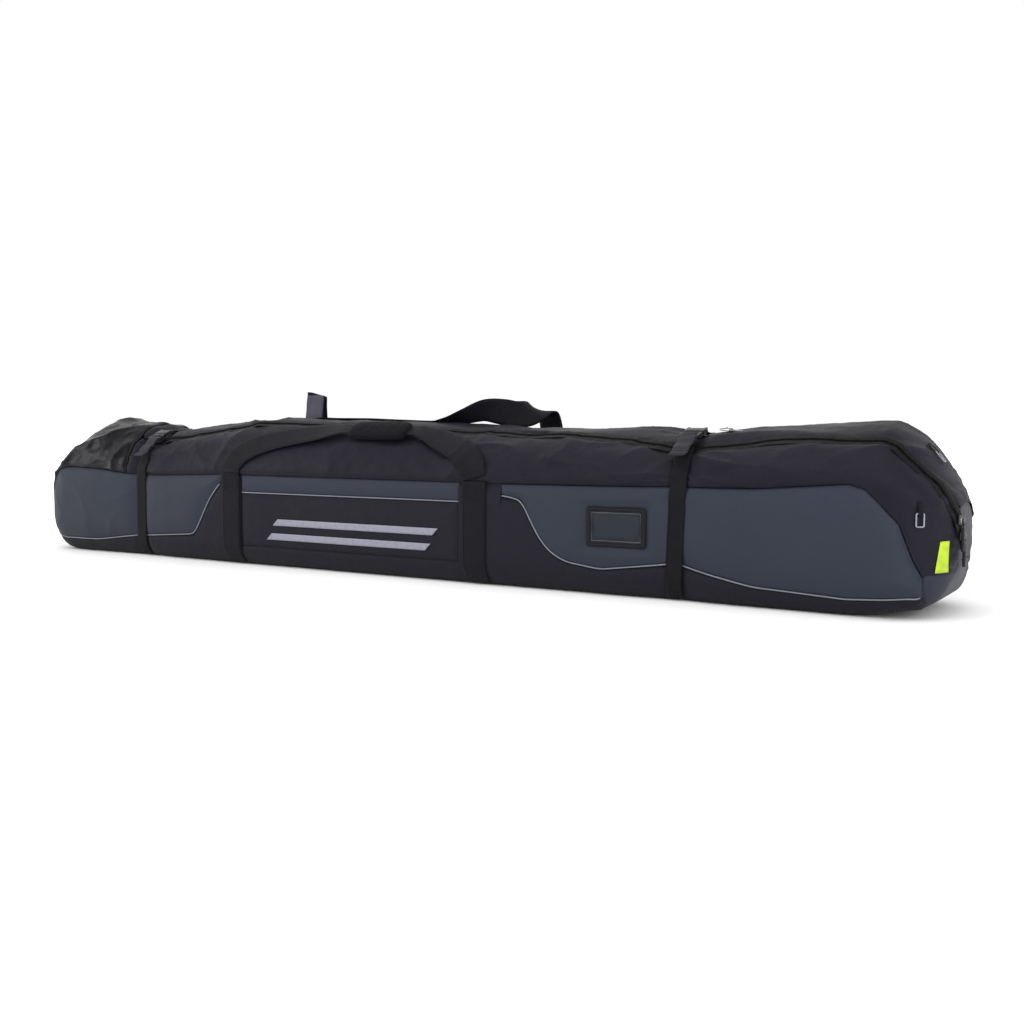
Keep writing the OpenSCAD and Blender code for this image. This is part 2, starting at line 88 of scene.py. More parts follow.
# Rules along the bag: place and value, as in the CAD
DEPTH_RULE = [(-0.98, -0.014), (-0.96, -0.007), (-0.93, -0.002), (-0.86, 0), (-0.68, -0.008),
              (-0.6, -0.002), (-0.3, 0), (0.45, 0), (0.56, -0.006), (0.65, 0), (0.85, 0.004), (0.9, 0.004)]
CREST_RULE = [(-0.98, -0.122), (-0.965, -0.090), (-0.94, -0.046), (-0.905, -0.010), (-0.868, 0.007),
              (-0.827, 0.008), (-0.73, 0.001), (-0.7, -0.016), (-0.68, -0.018), (-0.655, -0.018),
              (-0.63, -0.012), (-0.575, -0.006), (-0.48, 0.004), (-0.4, 0.011), (-0.33, 0.011),
              (-0.159, 0.006), (0, 0.002), (0.18, -0.004), (0.36, -0.009), (0.45, -0.012),
              (0.56, -0.017), (0.64, -0.012), (0.7, -0.008), (0.78, -0.003), (0.85, 0.001)]
SEAM_RULE = [(-0.98, 0.142), (-0.962, 0.165), (-0.945, 0.181), (-0.915, 0.187), (-0.816, 0.184),
             (-0.721, 0.175), (-0.645, 0.174), (-0.424, 0.180), (0.2, 0.179), (0.43, 0.181),
             (0.69, 0.184), (0.833, 0.195), (0.88, 0.188), (TIP_X, 0.136)]
BACK_SEAM_RULE = [(-0.98, 0.142), (-0.94, 0.172), (-0.9, 0.178), (ZIP_END_X, BACK_SEAM_H),
                  (0.88, BACK_SEAM_H), (TIP_X, 0.136)]
BASE_RULE = [(-0.98, 0.034), (-0.965, 0.014), (-0.95, 0.004), (-0.925, 0), (0.825, 0), (0.88, 0.007),
             (0.91, 0.013), (0.935, 0.014), (0.955, 0.008)]
ZIP_RULE = [(ZIP_END_X, 48), (-0.64, 50), (-0.48, 60), (-0.3, 66), (0.2, 62), (0.45, 57), (0.52, 47),
            (0.6, 46), (0.69, 54), (0.833, 47), (0.89, 47), (0.95, 40), (TIP_X, 48)]
RIGHT_LOW_RULE = [(0.235, 0.160), (0.276, 0.153), (0.286, 0.140), (0.296, 0.118), (0.315, 0.087),
                  (0.335, 0.067), (0.364, 0.053), (0.43, 0.045), (0.56, 0.061), (0.62, 0.048),
                  (0.69, 0.034), (0.833, 0.027), (0.936, 0.034)]
RIGHT_HIGH_RULE = [(0.235, 0.178), (0.43, 0.180), (0.69, 0.183), (0.833, 0.194), (0.857, 0.187),
                   (0.877, 0.168), (0.892, 0.152), (0.905, 0.139), (0.914, 0.113), (0.924, 0.086),
                   (0.936, 0.062)]
LEFT_LOW_RULE = [(-0.98, 0.062), (-0.958, 0.036), (-0.935, 0.028), (-0.815, 0.030), (-0.7, 0.043),
                 (-0.513, 0.056), (-0.47, 0.128), (-0.43, 0.172)]


# ---------------------------------------------------------------- noise
def lattice(seed, size=256):
    angles = np.random.default_rng(seed).uniform(0, 2 * np.pi, (size, size))
    return np.cos(angles), np.sin(angles)


LATTICES = {}


def wave(u, v, seed):
    """Smooth gradient noise from about -0.7 to 0.7, for arrays of u and v."""
    if seed not in LATTICES:
        LATTICES[seed] = lattice(seed)
    gx, gy = LATTICES[seed]
    u, v = np.broadcast_arrays(np.asarray(u, float) + 97.3, np.asarray(v, float) + 61.7)
    iu, iv = np.floor(u).astype(int), np.floor(v).astype(int)
    fu, fv = u - iu, v - iv
    su, sv = fu * fu * (3 - 2 * fu), fv * fv * (3 - 2 * fv)

    def corner(a, b):
        i, j = (iu + a) % 256, (iv + b) % 256
        return gx[i, j] * (fu - a) + gy[i, j] * (fv - b)

    low = corner(0, 0) * (1 - su) + corner(1, 0) * su
    high = corner(0, 1) * (1 - su) + corner(1, 1) * su
    return low * (1 - sv) + high * sv


def layers(u, v, seed, count=3):
    return sum(wave(u * 2 ** k, v * 2 ** k, seed + k) * 0.5 ** k for k in range(count))


def ridges(u, v, seed):
    """Sharp creases: 0 in the flats, up to 1 along a ridge."""
    return np.clip(1 - np.abs(wave(u, v, seed)) * 3.2, 0, 1) ** 2


def bump(x, centre, width):
    return np.exp(-((x - centre) / width) ** 2)


def step(x, low, high):
    k = np.clip((x - low) / (high - low), 0, 1)
    return k * k * (3 - 2 * k)


# ---------------------------------------------------------------- the bag's outline
FINE_X = np.arange(-1.0, 1.0, 0.002)


def softened(rule, width=0.012):
    """A rule with its corners rounded, as fabric rounds them."""
    values = np.interp(FINE_X, *zip(*rule))
    reach = np.arange(-3 * width, 3 * width, 0.002)
    kernel = np.exp(-(reach / width) ** 2)
    padded = np.pad(values, len(reach) // 2, mode="edge")
    smooth = np.convolve(padded, kernel / kernel.sum(), mode="same")
    smooth = smooth[len(reach) // 2:len(reach) // 2 + len(values)]
    return lambda x: np.interp(x, FINE_X, smooth)


depth_rule = softened(DEPTH_RULE, 0.008)
crest_rule = softened(CREST_RULE, 0.010)
base_rule = softened(BASE_RULE, 0.006)
seam_rule, back_seam_rule = softened(SEAM_RULE), softened(BACK_SEAM_RULE)
zip_rule = softened(ZIP_RULE, 0.02)


def fall(x, start, power):
    k = np.clip((x - start) / (TIP_X + 0.004 - start), 0, 1)
    return 1 - (1 - k ** power) ** (1 / power)


def depth_at(x):
    return (HALF_DEPTH + depth_rule(x)) * (1 - fall(x, DOME_X, 2.5))


def crest_at(x):
    return CREST_H + crest_rule(x) - 0.134 * fall(x, DOME_X, 1.45)


def base_at(x):
    return base_rule(x) + 0.112 * fall(x, 0.925, 1.75)


# r runs round the outline: 0 base middle, 1 base edge, 2 side foot, 3 front seam, 4 crest,
# 5 back seam, 6 and 7 down the back, and below 0 it crosses the base to the back again.
FRONT_SEAM, BACK_SEAM = 3, 5


def skin(x, r):
    """Points of the smooth outline, as an array with a last axis of three."""
    x, r = np.broadcast_arrays(np.asarray(x, float), np.asarray(r, float))
    back = (r < 0) | (r > 4)
    q = np.where(r < 0, -r, np.where(r > 4, 8 - r, r))
    w, z0 = depth_at(x), base_at(x)
    zs = np.where(back, back_seam_rule(x), seam_rule(x))
    zc, b = crest_at(x), BASE_HALF * w / HALF_DEPTH
    zr = np.minimum(z0 + BASE_ROUND, (z0 + zs) / 2)
    a = np.clip(q - 1, 0, 1) * math.pi / 2
    c = np.clip(q - 3, 0, 1) * math.pi / 2
    y = np.where(q < 1, b * q, np.where(q < 2, b + (w - b) * np.sin(a), w * np.cos(c)))
    z = np.where(q < 2, zr - (zr - z0) * np.cos(a),
                 np.where(q < 3, zr + (zs - zr) * (q - 2), zs + (zc - zs) * np.sin(c)))
    return np.stack([x, np.where(back, y, -y), z], axis=-1)


def r_of_z(x, z):
    """Where the front's outline has a height."""
    z0, zs = base_at(x), seam_rule(x)
    zr = np.minimum(z0 + BASE_ROUND, (z0 + zs) / 2)
    low = 1 + np.arccos(np.clip((zr - z) / (zr - z0), -1, 1)) / (math.pi / 2)
    return np.where(z < zr, low, 2 + (z - zr) / (zs - zr))


def girth(x, r):
    """Length round the outline from the base's middle, which is the fabric's second coordinate."""
    w, z0, zs, zc = depth_at(x), base_at(x), seam_rule(x), crest_at(x)
    b = BASE_HALF * w / HALF_DEPTH
    zr = np.minimum(z0 + BASE_ROUND, (z0 + zs) / 2)
    corner = 1.57 * np.sqrt(((w - b) ** 2 + (zr - z0) ** 2) / 2)
    top = 1.57 * np.sqrt((w ** 2 + (zc - zs) ** 2) / 2)
    parts = [b, corner, zs - zr, top]
    q = np.abs(np.asarray(r, float))
    mirror = q > 4
    q = np.where(mirror, 8 - q, q)
    length = sum(np.clip(q - k, 0, 1) * part for k, part in enumerate(parts))
    length = np.where(mirror, 2 * sum(parts) - length, length)
    return np.where(np.asarray(r) < 0, -length, length)


def zip_r(x):
    return 3 + zip_rule(x) / 90


# ---------------------------------------------------------------- what the fabric does
def window_area(x, r):
    """1 where the name card window keeps the front's pad flat, and 0 away from it."""
    z = skin(x, r)[..., 2]
    wide = 1 - step(np.abs(x - WINDOW_X), WINDOW_W / 2, WINDOW_W / 2 + 0.016)
    tall = 1 - step(np.abs(z - WINDOW_Z), WINDOW_H / 2, WINDOW_H / 2 + 0.016)
    return wide * tall * ((r > 1) & (r < 3.3))


def pressed(x):
    """How much of a pad's swell is left where the straps cross it."""
    return 1 - 0.9 * np.maximum(bump(x, STRAP_LEFT_X, 0.030), bump(x, STRAP_RIGHT_X, 0.032))


def cloth(x, r):
    """How far the fabric stands out from the outline."""
    q = np.where(r < 0, -r, np.where(r > 4, 8 - r, r))
    g = girth(x, r)
    top, side = step(q, 2.9, 3.15), step(q, 1.1, 1.7)
    nose = 1 - step(x, -0.79, -0.70)
    straps = bump(x, STRAP_LEFT_X, 0.022) + bump(x, STRAP_RIGHT_X, 0.022)
    near = bump(x, STRAP_LEFT_X, 0.10) + bump(x, STRAP_RIGHT_X, 0.11)
    legs = bump(x, LEG_LEFT_X, 0.07) + bump(x, LEG_RIGHT_X, 0.09)
    out = 0.0058 * layers(x * 2.6, g * 6, 3) * top * (1 - nose)
    out += 0.0040 * (ridges(x * 4.2 + g * 4, g * 9 - x * 2.2, 11) - 0.3) * top * (1 - nose)
    out += 0.0030 * (ridges(x * 9 - g * 6, g * 15 + x * 3, 15) - 0.2) * top * (0.25 + near + legs)
    out += 0.0045 * near * top * ridges(x * 3, g * 20, 19)
    out += 0.0009 * layers(x * 36, g * 42, 23) * top
    out += 0.0016 * layers(x * 7, g * 9, 31) * side * (1 - top)
    out += 0.0018 * near * side * (1 - top) * ridges(x * 8 + g * 5, g * 13, 37)
    out += 0.0095 * (ridges(x * 8 + g * 3, g * 8 - x * 4, 41) - 0.35) * nose * top
    out += 0.0022 * (ridges(x * 17 - g * 9, g * 19 + x * 6, 47) - 0.3) * nose * top
    out += 0.0010 * (ridges(x * 11, g * 12, 53) - 0.3) * nose * side * (1 - top)
    out -= straps * (0.0050 * side + 0.0030 * top)
    grip = bump(x, WRAP_X, 0.13) * step(q, 3.35, 3.6)
    end = step(x, 0.90, 0.955)
    return out * (1 - 0.55 * end) * (1 - 0.8 * grip) * (1 - window_area(x, r))


def surface(x, r, lift=0.0):
    """Points of the fabric, lifted off it by lift, and the directions out of it."""
    h = 1e-3
    x, r = np.broadcast_arrays(np.asarray(x, float), np.asarray(r, float))
    along = skin(np.minimum(x + h, TIP_X), r) - skin(x - h, r)
    around = skin(x, r + h) - skin(x, r - h)
    normal = np.cross(along, around)
    size = np.linalg.norm(normal, axis=-1, keepdims=True)
    normal = normal / np.maximum(size, 1e-12)
    point = skin(x, r) + normal * (cloth(x, r) + lift)[..., None]
    point[..., 2] = np.maximum(point[..., 2], 0.0006)
    return point, normal


# ---------------------------------------------------------------- mesh helpers
def make(name, verts, faces, uv=None, smooth=True):
    mesh = bpy.data.meshes.new(name)
    mesh.from_pydata([tuple(v) for v in verts], [], faces)
    mesh.validate()
    if uv is not None:
        layer = mesh.uv_layers.new(name="fabric")
        index = np.empty(len(mesh.loops), int)
        mesh.loops.foreach_get("vertex_index", index)
        layer.data.foreach_set("uv", np.asarray(uv, float)[index].ravel())
    mesh.polygons.foreach_set("use_smooth", [smooth] * len(mesh.polygons))
    mesh.update()
    piece = bpy.data.objects.new(name, mesh)
    bpy.context.scene.collection.objects.link(piece)
    return piece


def dress(piece, material, body=None, nodes=()):
    piece.data.materials.clear()
    piece.data.materials.append(material)
    if nodes:
        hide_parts(*nodes)
    if body:
        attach(piece, body)
    return piece


def grid_faces(n, m, start=0, closed=False):
    wide = m if closed else m - 1
    return [(start + i * m + j, start + (i + 1) * m + j, start + (i + 1) * m + (j + 1) % m,
             start + i * m + (j + 1) % m) for i in range(n - 1) for j in range(wide)]


def edge_distance(x, g, border):
    """Distance in the flat fabric from every point to the nearest point of a border."""
    flat = np.stack([x.ravel(), g.ravel()], axis=1)
    best = np.full(len(flat), 1.0)
    for start in range(0, len(border), 200):
        part = border[start:start + 200]
        gap = np.sqrt(((flat[:, None, :] - part[None]) ** 2).sum(-1)).min(1)
        best = np.minimum(best, gap)
    return best.reshape(x.shape)


def panel(name, x0, x1, low, high, rows, crown=0.001, rolled=0.006, groove=0.0022, step_x=0.004,
          tuck=0.005, sides=(True, True, True, True)):
    """A sewn panel: it crowns between its seams, sinks into them, and its edges turn in."""
    xs = np.linspace(x0, x1, max(8, int((x1 - x0) / step_x)) + 1)
    k = np.linspace(0, 1, rows + 1)
    x = np.repeat(xs[:, None], rows + 1, axis=1)
    r = low(xs)[:, None] * (1 - k) + high(xs)[:, None] * k
    g = girth(x, r)
    borders = [np.stack([xs, g[:, 0]], 1), np.stack([xs, g[:, -1]], 1),
               np.stack([x[0], g[0]], 1), np.stack([x[-1], g[-1]], 1)]
    used = [b for b, on in zip(borders, sides) if on]
    gap = edge_distance(x, g, np.concatenate(used)) if used else np.full(x.shape, 1.0)
    swell = crown * pressed(x) * (1 - np.exp(-(gap / rolled) ** 1.3))
    flat = window_area(x, r)
    lift = swell * (1 - flat) + (WINDOW_LIFT - 0.0015) * flat - groove * np.exp(-gap / 0.0035)
    point, normal = surface(x, r, lift)
    tucked = point - normal * tuck
    tucked[..., 2] = np.maximum(tucked[..., 2], 0.0004)
    full = framed(point, tucked)
    uv = np.pad(np.stack([x, g], -1), ((1, 1), (1, 1), (0, 0)), mode="edge")
    lower, upper, start, end = sides
    rows = slice(0 if start else 1, None if end else -1)
    columns = slice(0 if lower else 1, None if upper else -1)
    full, uv = full[rows, columns], uv[rows, columns]
    return make(name, full.reshape(-1, 3), grid_faces(*full.shape[:2]), uv.reshape(-1, 2))


def framed(point, rim):
    """A grid with one more row of points on every side, taken from the rim's edges."""
    full = np.pad(rim, ((1, 1), (1, 1), (0, 0)), mode="edge")
    full[1:-1, 1:-1] = point
    return full


def spline(points, count):
    """Smooth positions along a chain of points."""
    p = np.array(points, float)
    p = np.concatenate([[2 * p[0] - p[1]], p, [2 * p[-1] - p[-2]]])
    out = []
    for s in np.linspace(0, len(p) - 3 - 1e-9, count):
        i = int(s)
        f = s - i
        a, b, c, d = p[i], p[i + 1], p[i + 2], p[i + 3]
        out.append(0.5 * (2 * b + (c - a) * f + (2 * a - 5 * b + 4 * c - d) * f ** 2
                          + (3 * b - a - 3 * c + d) * f ** 3))
    return np.array(out)


def unit(v):
    return v / np.maximum(np.linalg.norm(v, axis=-1, keepdims=True), 1e-12)


def band_section(width, thick, curl=0.0):
    """Half-round edged section of a webbing band: offsets across and out of it."""
    across = np.linspace(-1, 1, 9)
    bow = curl * (1 - across ** 2)
    ease = np.where(np.abs(across) > 0.99, 0.35, 1.0)
    up = [(a * width / 2, b + e * thick / 2) for a, b, e in zip(across, bow, ease)]
    down = [(a * width / 2, b - e * thick / 2) for a, b, e in zip(across, bow, ease)]
    return up + down[::-1]


def sweep(name, centres, wide, section, widths=None, closed_ends=True):
    """A section carried along centres; wide is the direction across it at each centre."""
    centres, wide = np.array(centres, float), unit(np.array(wide, float))
    ahead = unit(np.gradient(centres, axis=0))
    wide = unit(wide - ahead * (wide * ahead).sum(-1, keepdims=True))
    out = np.cross(ahead, wide)
    widths = np.ones(len(centres)) if widths is None else np.array(widths, float)
    n, m = len(centres), len(section)
    verts = np.array([[centres[i] + wide[i] * a * widths[i] + out[i] * b for a, b in section]
                      for i in range(n)])
    run = np.concatenate([[0], np.cumsum(np.linalg.norm(np.diff(centres, axis=0), axis=1))])
    uv = np.array([[(run[i], section[j][0]) for j in range(m)] for i in range(n)])
    faces = grid_faces(n, m, closed=True)
    if closed_ends:
        faces += [tuple(range(m)), tuple((n - 1) * m + j for j in reversed(range(m)))]
    piece = make(name, verts.reshape(-1, 3), faces, uv.reshape(-1, 2))
    fix_normals(piece)
    return piece


def fix_normals(piece):
    work = bmesh.new()
    work.from_mesh(piece.data)
    bmesh.ops.recalc_face_normals(work, faces=work.faces)
    work.to_mesh(piece.data)
    work.free()


def tube(name, centres, radius, sides=8, closed=False):
    """A round cord along centres."""
    centres = np.array(centres, float)
    if closed:
        ahead = unit(np.roll(centres, -1, 0) - np.roll(centres, 1, 0))
    else:
        ahead = unit(np.gradient(centres, axis=0))
    guide = np.array([0.0, 0.0, 1.0])
    if abs(ahead[:, 2]).mean() > 0.8:
        guide = np.array([0.0, 1.0, 0.0])
    side = unit(np.cross(ahead, guide))
    up = np.cross(side, ahead)
    turn = np.linspace(0, 2 * math.pi, sides, endpoint=False)
    ring = [side * math.cos(a) * radius + up * math.sin(a) * radius for a in turn]
    verts = np.stack([centres + offset for offset in ring], 1)
    n = len(centres)
    faces = grid_faces(n, sides, closed=True)
    if closed:
        last = (n - 1) * sides
        faces += [(last + j, j, (j + 1) % sides, last + (j + 1) % sides) for j in range(sides)]
    else:
        faces += [tuple(range(sides)), tuple((n - 1) * sides + j for j in reversed(range(sides)))]
    run = np.concatenate([[0], np.cumsum(np.linalg.norm(np.diff(centres, axis=0), axis=1))])
    uv = np.array([[(run[i], a * radius) for a in turn] for i in range(n)]).reshape(-1, 2)
    piece = make(name, verts.reshape(-1, 3), faces, uv)
    fix_normals(piece)
    return piece


def join(name, pieces):
    """One object from several, in the order given."""
    bpy.ops.object.select_all(action="DESELECT")
    for piece in pieces:
        piece.select_set(True)
    bpy.context.view_layer.objects.active = pieces[0]
    if len(pieces) > 1:
        bpy.ops.object.join()
    pieces[0].name = name
    pieces[0].data.name = name
    return pieces[0]


def apply_modifiers(piece):
    bpy.context.view_layer.objects.active = piece
    for modifier in list(piece.modifiers):
        bpy.ops.object.modifier_apply(modifier=modifier.name)
    return piece


def block(name, low, high, bevel=0.0008, segments=3, taper=(1, 1)):
    """A bevelled moulding between two corners; taper narrows its +Y end."""
    (x0, y0, z0), (x1, y1, z1) = low, high
    cx, cz = (x0 + x1) / 2, (z0 + z1) / 2
    verts = []
    for y, fx, fz in ((y0, 1, 1), (y1, taper[0], taper[1])):
        verts += [(cx + (x - cx) * fx, y, cz + (z - cz) * fz) for x, z in
                  ((x0, z0), (x1, z0), (x1, z1), (x0, z1))]
    faces = [(0, 1, 2, 3), (7, 6, 5, 4), (0, 4, 5, 1), (1, 5, 6, 2), (2, 6, 7, 3), (3, 7, 4, 0)]
    piece = make(name, verts, faces)
    fix_normals(piece)
    modifier = piece.modifiers.new("bevel", "BEVEL")
    modifier.width = bevel
    modifier.segments = segments
    modifier.limit_method = "NONE"
    modifier.harden_normals = False
    return apply_modifiers(piece)


def place(piece, matrix):
    piece.data.transform(matrix)
    piece.data.update()
    return piece


def stitches(name, path, normals, pitch=0.0048, length=0.0034, wide=0.0009):
    """A line of thread stitches that lie along a path on the fabric."""
    path = np.array(path, float)
    run = np.concatenate([[0], np.cumsum(np.linalg.norm(np.diff(path, axis=0), axis=1))])
    places = np.arange(pitch / 2, run[-1] - pitch / 2, pitch)
    centre = np.stack([np.interp(places, run, path[:, k]) for k in range(3)], 1)
    ahead = unit(np.stack([np.interp(places + 0.001, run, path[:, k]) for k in range(3)], 1) - centre)
    up = unit(np.stack([np.interp(places, run, np.array(normals)[:, k]) for k in range(3)], 1))
    side = np.cross(up, ahead)
    ring = [(-0.5, 0, -0.3), (-0.25, -0.5, 0.25), (-0.25, 0.5, 0.25), (0.25, -0.5, 0.25),
            (0.25, 0.5, 0.25), (0.5, 0, -0.3), (0, 0, 0.6)]
    quads = [(0, 1, 2), (1, 3, 6), (3, 4, 6), (4, 2, 6), (2, 1, 6), (3, 5, 4), (0, 3, 1), (0, 2, 4),
             (0, 5, 3), (0, 4, 5)]
    verts = np.concatenate([
        (centre + ahead * a * length + side * b * wide + up * c * wide)[:, None] for a, b, c in ring], 1)
    faces = [tuple(i * 7 + k for k in q) for i in range(len(places)) for q in quads]
    piece = make(name, verts.reshape(-1, 3), faces)
    fix_normals(piece)
    return piece


# ---------------------------------------------------------------- materials
def srgb(code):
    channels = [int(code[i:i + 2], 16) / 255 for i in (1, 3, 5)]
    return tuple(c / 12.92 if c <= 0.04045 else ((c + 0.055) / 1.055) ** 2.4 for c in channels) + (1,)


class Shader:
    """A material's node tree with short calls for the nodes used here."""

    def __init__(self, name):
        self.material = bpy.data.materials.new(name)
        self.material.use_nodes = True
        self.tree = self.material.node_tree
        self.tree.nodes.clear()
        self.out = self.node("ShaderNodeOutputMaterial")
        self.surface = self.node("ShaderNodeBsdfPrincipled")
        self.link(self.surface.outputs["BSDF"], self.out.inputs["Surface"])

    def node(self, kind, **values):
        made = self.tree.nodes.new(kind)
        for key, value in values.items():
            setattr(made, key, value)
        return made

    def link(self, a, b):
        self.tree.links.new(a, b)

    def set(self, **values):
        for key, value in values.items():
            self.surface.inputs[key.replace("_", " ")].default_value = value

    def coords(self, scale=(1, 1, 1), fabric=True, turn=0.0):
        source = self.node("ShaderNodeTexCoord")
        mapping = self.node("ShaderNodeMapping")
        mapping.inputs["Scale"].default_value = scale
        mapping.inputs["Rotation"].default_value = (0, 0, turn)
        self.link(source.outputs["UV" if fabric else "Object"], mapping.inputs["Vector"])
        return mapping.outputs["Vector"]

    def noise(self, vector, scale, detail=3.0, rough=0.55):
        made = self.node("ShaderNodeTexNoise")
        made.inputs["Scale"].default_value = scale
        made.inputs["Detail"].default_value = detail
        made.inputs["Roughness"].default_value = rough
        self.link(vector, made.inputs["Vector"])
        return made.outputs["Fac"]

    def bands(self, vector, scale, along="X", distort=0.0):
        made = self.node("ShaderNodeTexWave", bands_direction=along)
        made.inputs["Scale"].default_value = scale
        made.inputs["Distortion"].default_value = distort
        self.link(vector, made.inputs["Vector"])
        return made.outputs["Fac"]

    def math(self, kind, a, b):
        made = self.node("ShaderNodeMath", operation=kind)
        for socket, value in zip(made.inputs, (a, b)):
            if isinstance(value, (int, float)):
                socket.default_value = value
            else:
                self.link(value, socket)
        return made.outputs[0]

    def ramp(self, factor, stops):
        made = self.node("ShaderNodeValToRGB")
        ramp = made.color_ramp
        while len(ramp.elements) < len(stops):
            ramp.elements.new(0.5)
        for element, (place_at, colour) in zip(ramp.elements, stops):
            element.position = place_at
            element.color = colour if len(colour) == 4 else (*colour, 1)
        self.link(factor, made.inputs["Fac"])
        return made.outputs["Color"]

    def bumped(self, height, strength, distance, before=None):
        made = self.node("ShaderNodeBump")
        made.inputs["Strength"].default_value = strength
        made.inputs["Distance"].default_value = distance
        self.link(height, made.inputs["Height"])
        if before is not None:
            self.link(before, made.inputs["Normal"])
        return made.outputs["Normal"]

    def to(self, output, name):
        self.link(output, self.surface.inputs[name])


def grey(value):
    return (value, value, value, 1)


def scaled(colour, k):
    return tuple(min(1, c * k) for c in colour[:3]) + (1,)


def fabric(name, code, thread, rough=(0.5, 0.7), weave=0.35, crease=0.5, sheen=0.15, mottle=0.25,
           coat=0.0, specular=0.4, fine=60.0):
    """Woven, coated cloth: threads both ways, creases too fine for the mesh, and faded patches."""
    s = Shader(name)
    colour = srgb(code)
    flat = s.coords()
    patches = s.noise(flat, 7.0, 5.0, 0.6)
    specks = s.noise(flat, 900.0, 2.0)
    mix = s.math("ADD", s.math("MULTIPLY", patches, 0.8), s.math("MULTIPLY", specks, 0.2))
    s.to(s.ramp(mix, [(0.25, scaled(colour, 1 - mottle)), (0.5, colour),
                      (0.78, scaled(colour, 1 + 1.3 * mottle))]), "Base Color")
    s.to(s.ramp(patches, [(0.3, grey(rough[0])), (0.7, grey(rough[1]))]), "Roughness")
    warp = s.bands(flat, 0.314 / thread, "X")
    weft = s.bands(flat, 0.314 / thread, "Y")
    creased = s.bumped(s.noise(flat, fine, 4.0, 0.5), crease, 0.0035)
    woven = s.bumped(s.math("MULTIPLY", warp, weft), weave, 0.0003, creased)
    s.to(woven, "Normal")
    s.set(Sheen_Weight=sheen, Sheen_Roughness=0.4, Coat_Weight=coat, Coat_Roughness=0.22,
          Specular_IOR_Level=specular)
    return s.material


def webbing(name, code, rib=0.0017, rough=0.6, sheen=0.02, specular=0.15):
    """Ribbed polyester webbing: a herringbone of ribs across it, with painted shade in the valleys and a
    painted highlight on the rib tops.
    """
    s = Shader(name)
    colour = srgb(code)
    ribs = s.bands(s.coords(), 0.314 / rib, "X")
    lean = s.bands(s.coords(turn=0.6), 0.314 / (rib * 0.8), "Y")
    height = s.math("MULTIPLY", ribs, s.math("ADD", s.math("MULTIPLY", lean, 0.5), 0.5))
    worn = s.noise(s.coords(), 30.0, 4.0)
    # Base colour: painted shade from the rib height (darker valleys, lighter tops) mixed with random wear
    # from the worn noise.
    rib_shade_and_wear = s.math("ADD", s.math("MULTIPLY", height, 0.55), s.math("MULTIPLY", worn, 0.6))
    s.to(s.ramp(rib_shade_and_wear, [(0.1, scaled(colour, 0.6)), (0.5, colour), (0.95, scaled(colour, 1.7))]), "Base Color")
    s.to(s.bumped(height, 0.7, 0.0006), "Normal")
    s.set(Roughness=rough, Sheen_Weight=sheen, Sheen_Roughness=0.35, Specular_IOR_Level=specular)
    return s.material


def plastic(name, code, rough=0.38, grain=0.12, specular=0.5):
    """Moulded plastic with a fine spark-eroded grain and handling marks."""
    s = Shader(name)
    colour = srgb(code)
    room = s.coords(fabric=False)
    marks = s.noise(room, 90.0, 5.0)
    s.to(s.ramp(marks, [(0.3, scaled(colour, 0.8)), (0.7, scaled(colour, 1.25))]), "Base Color")
    s.to(s.ramp(marks, [(0.3, grey(rough - 0.06)), (0.7, grey(rough + 0.1))]), "Roughness")
    s.to(s.bumped(s.noise(room, 2600.0, 2.0), grain, 0.0002), "Normal")
    s.set(Specular_IOR_Level=specular)
    return s.material


def printed(name, code, rough=0.35, metallic=0.0, specular=0.5):
    """Printed film: it shows a little of the weave below."""
    s = Shader(name)
    colour = srgb(code)
    flat = s.coords()
    worn = s.noise(flat, 120.0, 5.0, 0.65)
    s.to(s.ramp(worn, [(0.25, scaled(colour, 0.72)), (0.55, colour), (0.9, scaled(colour, 1.1))]),
         "Base Color")
    s.to(s.ramp(worn, [(0.3, grey(rough)), (0.8, grey(rough + 0.2))]), "Roughness")
    s.to(s.bumped(s.noise(flat, 700.0, 3.0), 0.25, 0.0003), "Normal")
    s.set(Metallic=metallic, Specular_IOR_Level=specular)
    return s.material


def clear_film(name):
    """Clear PVC film with soft ripples and a faint haze."""
    s = Shader(name)
    room = s.coords(fabric=False)
    haze = s.noise(room, 60.0, 4.0)
    s.to(s.ramp(haze, [(0.3, grey(0.06)), (0.8, grey(0.2))]), "Roughness")
    s.to(s.bumped(s.noise(room, 28.0, 2.0), 0.05, 0.001), "Normal")
    s.set(Base_Color=srgb("#2b2f38"), Alpha=0.10, Specular_IOR_Level=0.3,
          Coat_Weight=0.1, Coat_Roughness=0.08)
    return s.material


def floor_paint(name):
    """White paint that glows white far from the bag, so the floor has no visible edge."""
    s = Shader(name)
    room = s.coords(fabric=False)
    s.to(s.ramp(s.noise(room, 3.0, 3.0), [(0.3, grey(0.95)), (0.7, grey(0.975))]), "Base Color")
    reach = s.node("ShaderNodeVectorMath", operation="LENGTH")
    s.link(room, reach.inputs[0])
    s.to(s.ramp(s.math("MULTIPLY", reach.outputs["Value"], 0.1), [(0.13, grey(0)), (0.24, grey(1))]),
         "Emission Color")
    s.set(Roughness=0.7, Emission_Strength=1.0)
    return s.material


